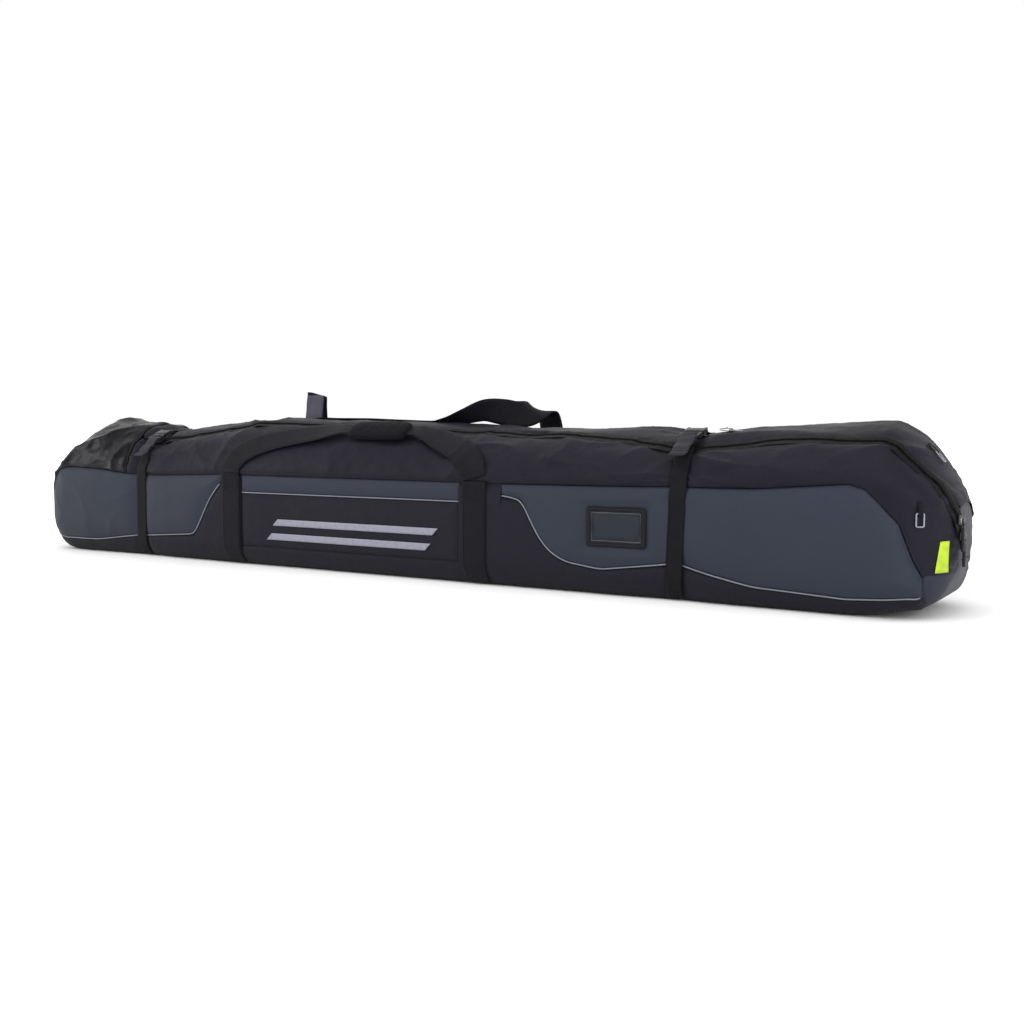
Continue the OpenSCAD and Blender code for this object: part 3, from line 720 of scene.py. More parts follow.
MAT = {
    "grey": fabric("grey_fabric", "#262a35", 0.0011, (0.5, 0.64), 0.3, 0.22, 0.03, 0.10, specular=0.16,
                   fine=26.0),
    "base": fabric("base_fabric", "#16151e", 0.0010, (0.52, 0.68), 0.3, 0.3, 0.02, 0.16, specular=0.12),
    "top": fabric("top_fabric", "#17161f", 0.0009, (0.38, 0.56), 0.3, 0.45, 0.01, 0.30, specular=0.09,
                  fine=34.0),
    "end": fabric("end_fabric", "#20202a", 0.0009, (0.42, 0.58), 0.3, 0.4, 0.01, 0.2, specular=0.12,
                  fine=34.0),
    "boot": fabric("boot_fabric", "#232631", 0.0010, (0.45, 0.6), 0.3, 0.3, 0.02, 0.15, specular=0.18,
                   fine=30.0),
    "nose": fabric("nose_fabric", "#0a0a0f", 0.0009, (0.20, 0.34), 0.12, 0.3, 0.0, 0.3, 0.05, 0.10, 22.0),
    "webbing": webbing("webbing", "#0e0d14", specular=0.11),
    "strap": webbing("strap_webbing", "#0d0d12", 0.0014, 0.55, specular=0.10),
    # Painted highlight: the tail is the strap's own webbing in a lighter colour, a lit copy for the raised
    # layer that folds back from the buckle.
    "tail": webbing("tail_webbing_lit_copy", "#1d1b25", 0.0014, 0.5, specular=0.2),
    "grip": fabric("grip_fabric", "#0f0e14", 0.0016, (0.7, 0.85), 0.6, 0.5, 0.01, 0.2, specular=0.08),
    "piping": printed("piping_film", "#70747d", 0.3, 0.35),
    "thread": webbing("thread", "#1f1f25", 0.0009),
    "thread_grey": webbing("thread_grey", "#3a3e48", 0.0009),
    "buckle": plastic("buckle_plastic", "#1a1b1e"),
    "coil": plastic("zip_coil", "#070709", 0.5, specular=0.12),
    "slider": plastic("slider_lacquer", "#1c1d20", 0.25, 0.05, 0.6),
    "pull": plastic("pull_rubber", "#101012", 0.6, 0.4, 0.25),
    "ring": plastic("ring_lacquer", "#6f727b", 0.3, 0.05, 0.8),
    "binding": plastic("window_binding", "#0b0c10", 0.45, specular=0.15),
    "film": clear_film("window_film"),
    "closure": webbing("closure_webbing", "#4e4c59", 0.0013, 0.7),
    "card": plastic("card_paper", "#23272f", 0.6, 0.03, 0.10),
    "silver": printed("badge_silver", "#81818f", 0.4, 0.2),
    "lime": printed("badge_lime", "#a8c20c", 0.45),
    "lining": fabric("lining_cloth", "#131316", 0.0008, specular=0.15),
    "foam": fabric("foam_sheet", "#3b3c42", 0.002, (0.85, 0.95), 0.1, 0.3, 0.0, 0.1),
    "floor": floor_paint("floor_paint"),
}


# ---------------------------------------------------------------- camera, floor and light
def stage():
    turn, pitch, away = math.radians(32.0), math.radians(4.28), 1.98
    ahead = Vector((-math.sin(turn) * math.cos(pitch), math.cos(turn) * math.cos(pitch), -math.sin(pitch)))
    data = bpy.data.cameras.new("camera")
    data.lens = 40.9
    data.sensor_width = 36.0
    camera = bpy.data.objects.new("camera", data)
    camera.location = (0.26 + away * math.sin(turn), -HALF_DEPTH - away * math.cos(turn), 0.28)
    camera.rotation_euler = ahead.to_track_quat("-Z", "Y").to_euler()
    bpy.context.scene.collection.objects.link(camera)
    bpy.context.scene.camera = camera

    floor = make("floor", [(-30, -30, 0), (30, -30, 0), (30, 30, 0), (-30, 30, 0)], [(0, 1, 2, 3)])
    floor.data.materials.append(MAT["floor"])

    world = bpy.data.worlds.new("studio")
    world.use_nodes = True
    world.node_tree.nodes["Background"].inputs["Color"].default_value = (1, 1, 1, 1)
    world.node_tree.nodes["Background"].inputs["Strength"].default_value = 1.0
    bpy.context.scene.world = world
    bpy.context.scene.view_settings.view_transform = "Standard"

    for name, where, aim, size, watts in (
            ("key", (0.6, -1.6, 2.6), (0, 0, 0.15), 2.2, 34),
            ("top", (-0.6, 0.5, 2.4), (0, 0, 0.2), 2.6, 9),
            ("end", (2.7, -1.7, 0.9), (0.8, 0, 0.15), 1.6, 26),
            ("left", (-2.6, -1.8, 1.0), (-0.8, 0, 0.15), 1.2, 17)):
        lamp = bpy.data.lights.new(name, "AREA")
        lamp.energy = watts
        lamp.size = size
        holder = bpy.data.objects.new(name, lamp)
        holder.location = where
        holder.rotation_euler = (Vector(aim) - Vector(where)).to_track_quat("-Z", "Y").to_euler()
        bpy.context.scene.collection.objects.link(holder)


stage()


# ---------------------------------------------------------------- sewn panels
def hinge_blend(piece):
    """Bakes a lid piece's placement into its mesh; the cloth is not bent across the hinge line."""
    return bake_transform(piece)


def at_front(rule):
    return lambda x: r_of_z(x, np.interp(x, *zip(*rule)))


def level(value):
    return lambda x: np.full(np.shape(x), float(value))


def mirrored(rule):
    return lambda x: 8 - rule(x)


right_low, right_high, left_low = at_front(RIGHT_LOW_RULE), at_front(RIGHT_HIGH_RULE), at_front(LEFT_LOW_RULE)
base_low = lambda x: r_of_z(x, np.full(np.shape(x), 0.040))
band_low = lambda x: r_of_z(x, np.full(np.shape(x), 0.146))
back_high = lambda x: np.minimum(FRONT_SEAM, right_high(x))
front_edge = lambda x: np.where(x < 0.833, FRONT_SEAM, np.minimum(FRONT_SEAM, right_high(x)))


def pads(side):
    """The padded grey panels and the dark centre of one side."""
    front = side == "front"
    turned = (lambda rule: rule) if front else mirrored
    low_first = (lambda a, b: (a, b)) if front else (lambda a, b: (b, a))

    def cut(name, x0, x1, low, high, rows, crown, rolled, material, node):
        a, b = low_first(turned(low), turned(high))
        piece = panel(name, x0, x1, a, b, rows, crown, rolled)
        dress(piece, MAT[material], "root", [node])

    cut(f"{side}_left_pad", -HALF_LEN, -0.432, left_low, level(FRONT_SEAM), 40, 0.0062, 0.016,
        "grey", f"{side}_left_panel")
    cut(f"{side}_right_pad", 0.237, 0.936, right_low, right_high if front else back_high, 44, 0.0076,
        0.017, "grey", f"{side}_right_panel")
    cut(f"{side}_centre_cloth", -0.378, 0.150, base_low, band_low, 28, 0.0015, 0.010,
        "base", f"{side}_centre_panel")
    cut(f"{side}_top_band", -0.378, 0.150, band_low, level(FRONT_SEAM), 12, 0.0030, 0.010,
        "grey", f"{side}_band")


pads("front")
pads("back")


def base_cloth():
    """The dark base with the sides that rise to the grey panels' curved edges."""
    seam = level(FRONT_SEAM)
    spans = ((-HALF_LEN, -0.432, left_low), (-0.432, -0.378, seam), (-0.378, 0.150, base_low),
             (0.150, 0.237, seam), (0.237, 0.936, right_low))
    parts = []
    for k, (x0, x1, rise) in enumerate(spans):
        parts.append(panel(f"base_{k}", x0, x1, lambda x, f=rise: -f(x), rise, 44, 0.0008, 0.008,
                           sides=(True, True, k == 0, k == 4), tuck=0.006))
    dress(join("base_cloth", parts), MAT["base"], "root", ["base_panel"])


base_cloth()


def cap(name, x, shrink, reach, low=-4.0, high=4.0, rings=10, turns=72):
    """Closes an end of the bag: rings that shrink towards its middle and bulge outwards."""
    r = np.linspace(low, high, turns)
    rim, _ = surface(np.full(turns, x), r, 0.0)
    middle = rim.mean(0)
    rows = []
    for k in range(rings + 1):
        a = k / rings * math.pi / 2
        row = middle + (rim - middle) * (math.cos(a) * (1 - shrink) + shrink * (1 - k / rings))
        row[:, 0] = x + reach * math.sin(a)
        rows.append(row)
    grid = np.array(rows)
    creases = 0.0020 * np.abs(reach) / 0.012 * (ridges(grid[..., 1] * 22, grid[..., 2] * 22, 61) - 0.3)
    grid[1:, :, 0] += (creases * math.copysign(1, reach))[1:]
    uv = np.stack([grid[..., 1], grid[..., 2]], -1)
    return make(name, grid.reshape(-1, 3), grid_faces(rings + 1, turns), uv.reshape(-1, 2))


def nose():
    top = panel("nose_top", -HALF_LEN, ZIP_END_X - 0.002, level(FRONT_SEAM), level(BACK_SEAM), 70,
                0.0012, 0.008, step_x=0.003)
    end = cap("nose_end", -HALF_LEN, 0.3, -0.010)
    fix_normals(end)
    dress(join("nose_cloth", [top, end]), MAT["nose"], "root", ["nose_cap"])


nose()


def right_end():
    """The end below the lid, with its rounded tip."""
    cap_top = lambda x: r_of_z(x, np.full(np.shape(x), 0.070))
    parts = [panel(f"end_{k}", 0.936, TIP_X, low, high, 40, 0.0012, 0.005, sides=(True, True, True, False),
                   tuck=0.004, step_x=0.003)
             for k, (low, high) in enumerate(((cap_top, level(FRONT_SEAM)),
                                              (level(-FRONT_SEAM), lambda x: -cap_top(x))))]
    boot = panel("end_boot", 0.936, TIP_X, lambda x: -cap_top(x), cap_top, 60, 0.0022, 0.006,
                 sides=(True, True, True, False), tuck=0.004, step_x=0.003)
    dress(boot, MAT["boot"], "root", ["right_end_panel"])
    corner = panel("end_back", 0.836, 0.936, level(BACK_SEAM), mirrored(back_high), 12, 0.0012, 0.006)
    tip = cap("end_tip", TIP_X - 0.0005, 0.25, 0.004)
    fix_normals(tip)
    dress(join("end_cloth", parts + [corner, tip]), MAT["end"], "root", ["right_end_panel"])


right_end()

zip_front = lambda x: zip_r(x) - 0.045
zip_lid = lambda x: zip_r(x) + 0.045


def top_panels():
    front = panel("front_top_cloth", ZIP_END_X, TIP_X, front_edge, zip_front, 46, 0.0015, 0.008,
                  sides=(True, True, True, False), step_x=0.0033)
    dress(front, MAT["top"], "root", ["front_top_panel"])
    lid = panel("lid_cloth", ZIP_END_X, TIP_X, zip_lid, level(BACK_SEAM), 60, 0.0015, 0.008,
                sides=(True, True, True, False), step_x=0.004)
    dress(lid, MAT["top"], None, ["lid_panel"])
    hinge_blend(lid)


top_panels()


# ---------------------------------------------------------------- webbing along the fabric
def smooth_run(values, reach):
    kernel = np.exp(-(np.arange(-3 * reach, 3 * reach + 1) / reach) ** 2)
    padded = np.pad(values, 3 * reach, mode="edge")
    return np.convolve(padded, kernel / kernel.sum(), mode="valid")


def draped(x, r, half, lift, reach=5):
    """A taut path over the fabric at x and r: it clears the fabric across its width."""
    x, r = np.broadcast_arrays(np.asarray(x, float), np.asarray(r, float))
    height = np.max([cloth(x + k * half, r) for k in (-1, -0.5, 0, 0.5, 1)], axis=0)
    height = np.maximum(smooth_run(height, reach), height * 0.7)
    point, normal = surface(x, r)
    base = point - normal * cloth(x, r)[:, None]
    return base + normal * (height + lift)[:, None], normal


def crosswise(count):
    return np.tile([1.0, 0.0, 0.0], (count, 1))


def box_stitch(name, path, normals, width, length, first=True):
    """A square of stitches with a cross in it, which holds a strap's end."""
    run = np.concatenate([[0], np.cumsum(np.linalg.norm(np.diff(path, axis=0), axis=1))])
    start = 0.004 if first else run[-1] - 0.004 - length

    def at(u, v):
        place_at = start + v * length
        spot = np.array([np.interp(place_at, run, path[:, k]) for k in range(3)])
        out = unit(np.array([np.interp(place_at, run, normals[:, k]) for k in range(3)]))
        return spot + np.array([u * width, 0, 0]) + out * (WEB_T / 2 + 0.0003), out

    lines = [((-0.5, 0), (0.5, 0)), ((0.5, 0), (0.5, 1)), ((0.5, 1), (-0.5, 1)), ((-0.5, 1), (-0.5, 0)),
             ((-0.5, 0), (0.5, 1)), ((0.5, 0), (-0.5, 1))]
    parts = []
    for k, (a, b) in enumerate(lines):
        spots = [at(a[0] + (b[0] - a[0]) * f, a[1] + (b[1] - a[1]) * f) for f in np.linspace(0, 1, 9)]
        parts.append(stitches(f"{name}_{k}", [s[0] for s in spots], [s[1] for s in spots],
                              0.0034, 0.0025, 0.0008))
    return join(name, parts)


def edge_stitches(name, path, normals, inset):
    """Two rows of stitches that run along a band, near its edges."""
    sides = np.array([1.0, 0, 0])
    rows = [stitches(f"{name}_{k}", path + sides * inset * s + normals * (WEB_T / 2 + 0.0003), normals)
            for k, s in enumerate((-1, 1))]
    return join(name, rows)


def leg_bands(side):
    """The handles' webbing, sewn up the side in two places."""
    bands, threads = [], []
    for k, x0 in enumerate((LEG_LEFT_X, LEG_RIGHT_X)):
        r = np.linspace(1.35, 3.02, 70)
        r = r if side == "front" else 8 - r
        path, normals = draped(np.full(70, x0), r, WEB_W / 2, 0.0020)
        bands.append(sweep(f"band_{k}", path, crosswise(70), band_section(WEB_W, WEB_T)))
        threads.append(edge_stitches(f"thread_{k}", path, normals, WEB_W / 2 - 0.004))
        threads.append(box_stitch(f"cross_{k}", path, normals, 0.034, 0.030, first=False))
    body = "root"
    dress(join(f"{side}_leg_bands", bands), MAT["webbing"], body, [f"{side}_webbing"])
    dress(join(f"{side}_leg_thread", threads), MAT["thread"], body)


leg_bands("front")
leg_bands("back")


BUCKLES = {"left": (STRAP_LEFT_X, 3.54, 0.009), "right": (STRAP_RIGHT_X, 3.633, 0.0)}   # x, angle, shift


def compression_strap(end):
    x0 = BUCKLES[end][0]
    half = STRAP_W / 2
    top = BUCKLES[end][1]
    joined = np.linspace(1.35, top - 0.12, 90)
    pulled = np.interp(joined, [1.4, 3.0, top], [-0.006, 0.004, 0.0] if end == "right" else [0, 0.003, 0.009])
    path, normals = draped(x0 + pulled, joined, half, 0.0026)
    dress(sweep(f"strap_front_{end}_web", path, crosswise(90), band_section(STRAP_W, WEB_T)),
          MAT["strap"], "root", [f"strap_front_{end}"])
    dress(box_stitch(f"strap_front_{end}_thread", path, normals, 0.020, 0.022), MAT["thread"],
          "root")

    r = np.linspace(6.65, 5.03, 70)
    path, normals = draped(np.full(70, x0), r, half, 0.0026)
    dress(sweep(f"strap_back_{end}_web", path, crosswise(70), band_section(STRAP_W, WEB_T)),
          MAT["strap"], "root", [f"strap_back_{end}"])
    dress(box_stitch(f"strap_back_{end}_thread", path, normals, 0.020, 0.022), MAT["thread"],
          "root")

    r = np.linspace(top + 0.20, 4.97, 80)
    path, normals = draped(np.full(80, x0), r, half, 0.0026)
    anchor = local_point(end, (0, 0.0255, 0.0045))
    blend_in = step(np.linspace(0, 1, 80), 0, 0.16)[:, None]
    path = anchor + (path - path[0]) * (1 - blend_in) + (path - anchor) * blend_in
    strap = sweep(f"strap_lid_{end}_web", path, crosswise(80), band_section(STRAP_W - 0.002, WEB_T))
    dress(strap, MAT["strap"], None, [f"strap_lid_{end}"])
    hinge_blend(strap)


# ---------------------------------------------------------------- buckles
def joint(name):
    return next(j for j in frame["joints"] if j["name"] == name)


def buckle_frame(end):
    """From the buckle's own axes (X across, Y up the slope, Z out) to the bag's."""
    x0, top, shift = BUCKLES[end]
    axis = joint(f"buckle_{end}_release")["axis"]
    tilt = math.atan2(-axis[2], -axis[1])
    start = Vector(skin(x0, top + 0.09))
    low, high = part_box(f"buckle_male_{end}")
    turned = Matrix.Rotation(tilt, 4, "X")
    matrix = Matrix.Translation(start) @ turned @ Matrix.Translation((0, 0, BUCKLE_LIFT))
    middle = matrix @ Vector((0, 0.003, BUCKLE_H / 2))
    lower = turned @ Vector((0, -0.009, 0.0015))
    return Matrix.Translation((low + high) / 2 - middle + lower + Vector((shift, 0, 0))) @ matrix


def local_point(end, where):
    return np.array(buckle_frame(end) @ Vector(where))


def buckle(end):
    w, h = BUCKLE_W / 2, BUCKLE_H
    female = [
        block("f_top", (-w, 0.006, h - 0.0022), (w, 0.0235, h), 0.0009),
        block("f_low", (-w, 0.006, 0), (w, 0.0235, 0.0022), 0.0009),
        block("f_ramp", (-w + 0.004, 0.0075, h - 0.0006), (w - 0.004, 0.012, h + 0.0007), 0.0005),
        block("f_left", (-w, 0.019, 0), (-w + 0.004, 0.028, h), 0.0012),
        block("f_right", (w - 0.004, 0.019, 0), (w, 0.028, h), 0.0012),
        block("f_back", (-w, 0.0195, 0), (w, 0.0225, h - 0.0004), 0.0008),
        block("f_bar", (-w + 0.002, 0.0252, 0.002), (w - 0.002, 0.028, h - 0.002), 0.0009),
    ]
    male = [
        block("m_left", (-w, -0.014, 0.0012), (-w + 0.0032, 0.005, h - 0.0012), 0.0009),
        block("m_right", (w - 0.0032, -0.014, 0.0012), (w, 0.005, h - 0.0012), 0.0009),
        block("m_bar_0", (-w, -0.014, 0.0012), (w, -0.011, h - 0.002), 0.0009),
        block("m_bar_1", (-w, -0.0074, 0.0024), (w, -0.0040, h - 0.0012), 0.0009),
        block("m_bar_2", (-w, -0.0004, 0.0012), (w, 0.005, h - 0.0012), 0.0010),
        block("m_guide", (-0.002, 0.004, 0.003), (0.002, 0.0195, 0.006), 0.0006),
    ]
    for side in (-1, 1):
        male.append(block(f"m_arm_{side}", (side * 0.0130 - 0.0018, 0.004, 0.0028),
                          (side * 0.0130 + 0.0018, 0.0175, h - 0.0028), 0.0009))
        male.append(block(f"m_tip_{side}", (side * 0.0140 - 0.0026, 0.0115, 0.0028),
                          (side * 0.0140 + 0.0026, 0.0185, h - 0.0028), 0.0013, taper=(0.7, 1)))
    matrix = buckle_frame(end)
    dress(place(join(f"buckle_{end}_socket", female), matrix), MAT["buckle"], "lid",
          [f"buckle_female_{end}"])
    dress(place(join(f"buckle_{end}_tongue", male), matrix), MAT["buckle"],
          f"buckle_tongue_{end}", [f"buckle_male_{end}"])
    y = np.linspace(-0.0142, -0.066, 26)
    droop = -0.0160 * step(-y, 0.010, 0.072) + 0.0012 * np.sin(y * 260)
    path = np.stack([np.zeros(26), y, 0.0035 + droop], 1)
    tail = sweep("tail", path, crosswise(26), band_section(STRAP_W, 0.0031))
    end_fold = sweep("fold", path[-5:] + [0, 0, 0.0012], crosswise(5), band_section(STRAP_W, 0.0024))
    tail = place(join(f"strap_tail_{end}_web", [tail, end_fold]), matrix)
    # The tail and its loop take the lighter, lit copy of the strap webbing (painted highlight).
    dress(tail, MAT["tail"], f"buckle_tongue_{end}", [f"strap_tail_{end}"])
    loop = np.array([(0, -0.0142, 0.0035), (0, -0.0100, 0.0078), (0, -0.0058, 0.0092), (0, -0.0022, 0.0070)])
    web = sweep("loop", spline(loop, 16), crosswise(16), band_section(STRAP_W - 0.003, WEB_T))
    dress(place(web, matrix), MAT["tail"], f"buckle_tongue_{end}")
    bar = stitches("bartack", [(x, -0.058, -0.0070) for x in np.linspace(-0.012, 0.012, 12)],
                   [(0, 0, 1)] * 12, 0.0026, 0.0018, 0.0012)
    dress(place(bar, matrix), MAT["thread"], f"buckle_tongue_{end}")


for name in BUCKLES:
    compression_strap(name)
    buckle(name)


# ---------------------------------------------------------------- carrying handles
FRONT_LEG = [(5, 0, 0.0030), (14, 0.006, 0.0030), (26, 0.030, 0.0034), (37, 0.080, 0.0045),
             (46, 0.145, 0.0075), (GRIP_ANGLE, 0.196, 0.0130)]
GRIP_SLOPE = np.array([0.0, 0.848, 0.53])


def leg_path(x0, ahead, count=44):
    """Centres and width directions of a front handle's leg, from the seam to the wrap."""
    stretch = (abs(WRAP_X - x0) - WRAP_LEN / 2 - 0.022) / FRONT_LEG[-1][1]
    steps = spline([(x0 + ahead * run * stretch, 3 + a / 90, lift) for a, run, lift in FRONT_LEG], count)
    path, normals = draped(steps[:, 0], steps[:, 1], 0.016, steps[:, 2], reach=7)
    run = unit(np.gradient(path, axis=0))
    wide = unit(np.cross(normals, run)) * ahead
    share = step(np.linspace(0, 1, count), 0.78, 1.0)[:, None]
    early = 1 - step(np.linspace(0, 1, count), 0.0, 0.2)[:, None]
    across = np.array([1.0, 0, 0]) * np.sign(wide[2, 0] or 1)
    side = np.sign(wide[-4] @ GRIP_SLOPE)
    wide = wide * (1 - share) * (1 - early) + GRIP_SLOPE * side * share + across * early
    return path, wide


def front_handle():
    left, left_wide = leg_path(LEG_LEFT_X, 1)
    right, right_wide = leg_path(LEG_RIGHT_X, -1)
    right, right_wide = right[::-1], right_wide[::-1]
    if right_wide[0] @ left_wide[-1] < 0:
        right_wide = -right_wide
    middle = np.linspace(left[-1], right[0], 14)[1:-1]
    path = np.concatenate([left, middle, right])
    wide = np.concatenate([left_wide, np.tile(left_wide[-1], (12, 1)), right_wide])
    near = 1 - step(np.abs(path[:, 0] - WRAP_X), WRAP_LEN / 2 - 0.01, WRAP_LEN / 2 + 0.09)
    web = sweep("front_handle_web", path, wide, band_section(WEB_W, WEB_T, 0.0006), 1 - 0.4 * near)
    dress(web, MAT["webbing"], "front_handle", ["front_handle"])


def grip_wrap():
    """The padded sleeve round both handles: quilted, with a flap that closes along its top."""
    low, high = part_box("grip_wrap")
    centre = Vector((WRAP_X, (low.y + high.y) / 2 - 0.007, (low.z + high.z) / 2 - 0.006))
    n, m = 96, 72
    u = np.linspace(-1, 1, n)
    turn = np.linspace(0, 2 * math.pi, m, endpoint=False)
    verts, uv = [], []
    for a in u:
        end_size = 0.25 + 0.75 * (1 - abs(a) ** 14) ** 0.5
        swell = 0.94 + 0.05 * (1 - a * a)
        pinch = sum(0.0010 * math.exp(-((a - s) / 0.03) ** 2) for s in (-0.86, 0.86))
        for b in turn:
            c, s = math.cos(b), math.sin(b)
            across = 0.0235 * math.copysign(abs(c) ** 0.72, c) * swell
            up = 0.0108 * math.copysign(abs(s) ** 0.80, s) * swell
            flap = 0.0012 / (1 + math.exp(-(across + 0.004) / 0.0004)) * (s > 0.2)
            crease = 0.0009 * float(ridges(a * 3.1 + 2, b * 1.7, 71)) + 0.0007 * float(wave(a * 6, b * 2, 73))
            k = 1 - (crease + pinch) / 0.02
            verts.append((a * WRAP_LEN / 2, across * k * end_size, (up * k + flap) * end_size))
            uv.append((a * WRAP_LEN / 2, b * 0.018))
    faces = grid_faces(n, m, closed=True)
    faces += [tuple(range(m)), tuple((n - 1) * m + j for j in reversed(range(m)))]
    sleeve = make("grip_sleeve", verts, faces, uv)
    fix_normals(sleeve)
    matrix = Matrix.Translation(centre) @ Matrix.Rotation(math.radians(32), 4, "X")
    dress(place(sleeve, matrix), MAT["grip"], "front_handle", ["grip_wrap"])
    rows = []
    for k, y in enumerate((-0.0075, 0.0165)):
        spots = [(x, y, 0.0122 if k == 0 else 0.0098) for x in np.linspace(-0.060, 0.060, 40)]
        rows.append(stitches(f"wrap_row_{k}", spots, [(0, 0, 1)] * 40))
    dress(place(join("grip_thread", rows), matrix), MAT["thread"], "front_handle")


def rear_handle():
    """The webbing stands up in a tight fold at one leg, lies along the lid, and arches over to the other."""
    y, x0 = HINGE_Y + 0.002, LEG_LEFT_X
    fold = [(x0, y, 0.184, 1, 0, 0), (x0, y, 0.250, 1, 0, 0), (x0 + 0.003, 0.131, 0.318, 1, 0, -0.1),
            (x0 + 0.006, 0.1285, 0.3420, 1, 0, -0.25), (x0 + 0.006, 0.1255, 0.3440, 1, 0, -0.25),
            (x0 + 0.006, 0.1225, 0.3420, 1, 0, -0.25), (x0 + 0.003, 0.121, 0.318, 1, 0, -0.1)]
    lying = []
    for x, r, lift, lean in (
            (x0 + 0.003, 4.66, 0.007, 0.05), (-0.385, 4.46, 0.004, 0.3), (-0.350, 4.33, 0.003, 0.8),
            (-0.300, 4.24, 0.003, 1.6), (-0.235, 4.15, 0.003, 2.6), (-0.160, 4.10, 0.003, 4.0),
            (-0.080, 4.06, 0.003, 9.0), (0.0, 4.06, 0.003, -9.0)):
        point, normal = surface(x, r, lift)
        wide = unit(np.cross(normal, np.array([abs(lean), -1.0 if lean > 0 else 0.2, 0.0])))
        lying.append((*point, *(wide * np.sign(wide[0] + wide[1]))))
    arch = [(0.036, 0.004, 0.2880, 0, 0.95, -0.35),
            (0.070, 0.010, 0.2965, 0, 0.65, -0.75), (0.104, 0.024, 0.3070, 0, 0.35, -0.92),
            (0.134, 0.042, 0.3040, 0, 0.05, -1), (0.151, 0.055, 0.3000, 0.05, 0, -1),
            (0.167, 0.071, 0.3010, 0.35, 0.1, -0.88), (0.178, 0.089, 0.3065, 0.85, 0.3, -0.40),
            (0.183, 0.108, 0.3075, 0.97, 0.2, -0.12), (0.184, 0.124, 0.2990, 1, 0, -0.05),
            (0.185, 0.134, 0.2720, 1, 0, 0), (LEG_RIGHT_X + 0.001, y, 0.240, 1, 0, 0),
            (LEG_RIGHT_X, y, 0.184, 1, 0, 0)]
    path = spline(fold + lying + arch, 300)
    centres = path[:, :3]
    near = 1 - step(np.abs(centres[:, 0] - WRAP_X), 0.10, 0.20)
    web = sweep("rear_handle_web", centres, path[:, 3:], band_section(WEB_W, WEB_T, 0.0012), 1 - 0.32 * near)
    dress(web, MAT["webbing"], "rear_handle", ["rear_handle"])
    height = np.linspace(0.262, 0.3440, 20)
    rise = step(height, 0.28, 0.34)
    facing = np.stack([x0 + 0.006 * rise, 0.1178 + 0.0006 * rise, height], 1)
    lean = np.stack([np.ones(20), np.zeros(20), -0.25 * rise], 1)
    closure = sweep("closure_pad", facing, lean, band_section(WEB_W - 0.004, 0.0016, 0.0003))
    dress(closure, MAT["closure"], "rear_handle")


front_handle()
grip_wrap()
rear_handle()


# ---------------------------------------------------------------- zip
def zip_course(count):
    """Centres and outward directions of the zip, from the tapered end to where its sliders park."""
    x = np.linspace(ZIP_END_X + 0.006, 0.944, count)
    path, normals = surface(x, zip_r(x), 0.0004)
    upper, lower = [(a + b) / 2 for a, b in (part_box("slider_upper"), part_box("slider_lower"))]
    tail = [path[-6], path[-1], (0.9640, -0.0690, 0.1640), (upper[0] - 0.0030, upper[1], upper[2]),
            (lower[0] - 0.0030, lower[1], lower[2]), (lower[0] - 0.0036, lower[1] + 0.008, lower[2] - 0.022)]
    end = spline(tail, 60)[14:]
    away = unit(end - np.array([0.80, 0.0, 0.12]))
    outward = np.linspace(0.3, 1, len(away))[:, None]
    kept = np.linspace(0.7, 0, len(away))[:, None]
    away = unit(away * outward + normals[-1] * kept)
    return np.concatenate([path, end]), np.concatenate([normals, away])


def zipper():
    path, normals = zip_course(520)
    ahead = unit(np.gradient(path, axis=0))
    side = unit(np.cross(normals, ahead))
    run = np.concatenate([[0], np.cumsum(np.linalg.norm(np.diff(path, axis=0), axis=1))])

    def along(values, places):
        return np.stack([np.interp(places, run, values[:, k]) for k in range(3)], 1)

    for name, sign, body in (("front", -1, "root"), ("lid", 1, "lid")):
        tape_path = path + side * sign * 0.0072 - normals * 0.0010
        tape = sweep(f"zip_tape_{name}", tape_path, side, band_section(0.0130, 0.0008))
        turns = int(run[-1] / 0.0028)
        places = np.linspace(0.001, run[-1] - 0.001, turns * 7)
        phase = np.linspace(0, turns * 2 * math.pi, turns * 7)
        centre, out, wide = along(path, places), along(normals, places), along(side, places)
        coil = (centre + wide * (sign * 0.0011 + 0.0012 * np.cos(phase))[:, None]
                + out * (0.0004 + 0.0010 * np.sin(phase))[:, None])
        teeth = tube(f"zip_teeth_{name}", coil, 0.00045, 4)
        dress(join(f"zip_{name}", [tape, teeth]), MAT["coil"], body, [f"zip_coil_{name}"])
        edge = path + side * sign * 0.0088 + normals * 0.0006
        row = stitches(f"zip_thread_{name}", edge, normals)
        dress(row, MAT["thread"], body)


def slider(end):
    low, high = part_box(f"slider_{end}")
    cx, cy, cz = (low + high) / 2
    x0 = low.x
    parts = [block("body", (cx - 0.004, cy - 0.0050, cz - 0.0070),
                   (cx - 0.0005, cy + 0.0050, cz + 0.0070), 0.0012),
             block("shoulder", (x0, cy - 0.0038, cz + 0.0020),
                   (x0 + 0.0046, cy + 0.0038, cz + 0.0066), 0.0012)]
    arch = spline([(cx - 0.001, cy, cz + 0.0050), (cx + 0.0030, cy, cz + 0.0042),
                   (cx + 0.0038, cy, cz - 0.001), (cx + 0.0026, cy, cz - 0.0048),
                   (cx - 0.001, cy, cz - 0.0052)], 20)
    parts.append(sweep("arch", arch, np.tile([0, 1.0, 0], (20, 1)), band_section(0.0034, 0.0011)))
    dress(join(f"slider_{end}_body", parts), MAT["slider"],
          f"slider_{end}", [f"slider_{end}"])


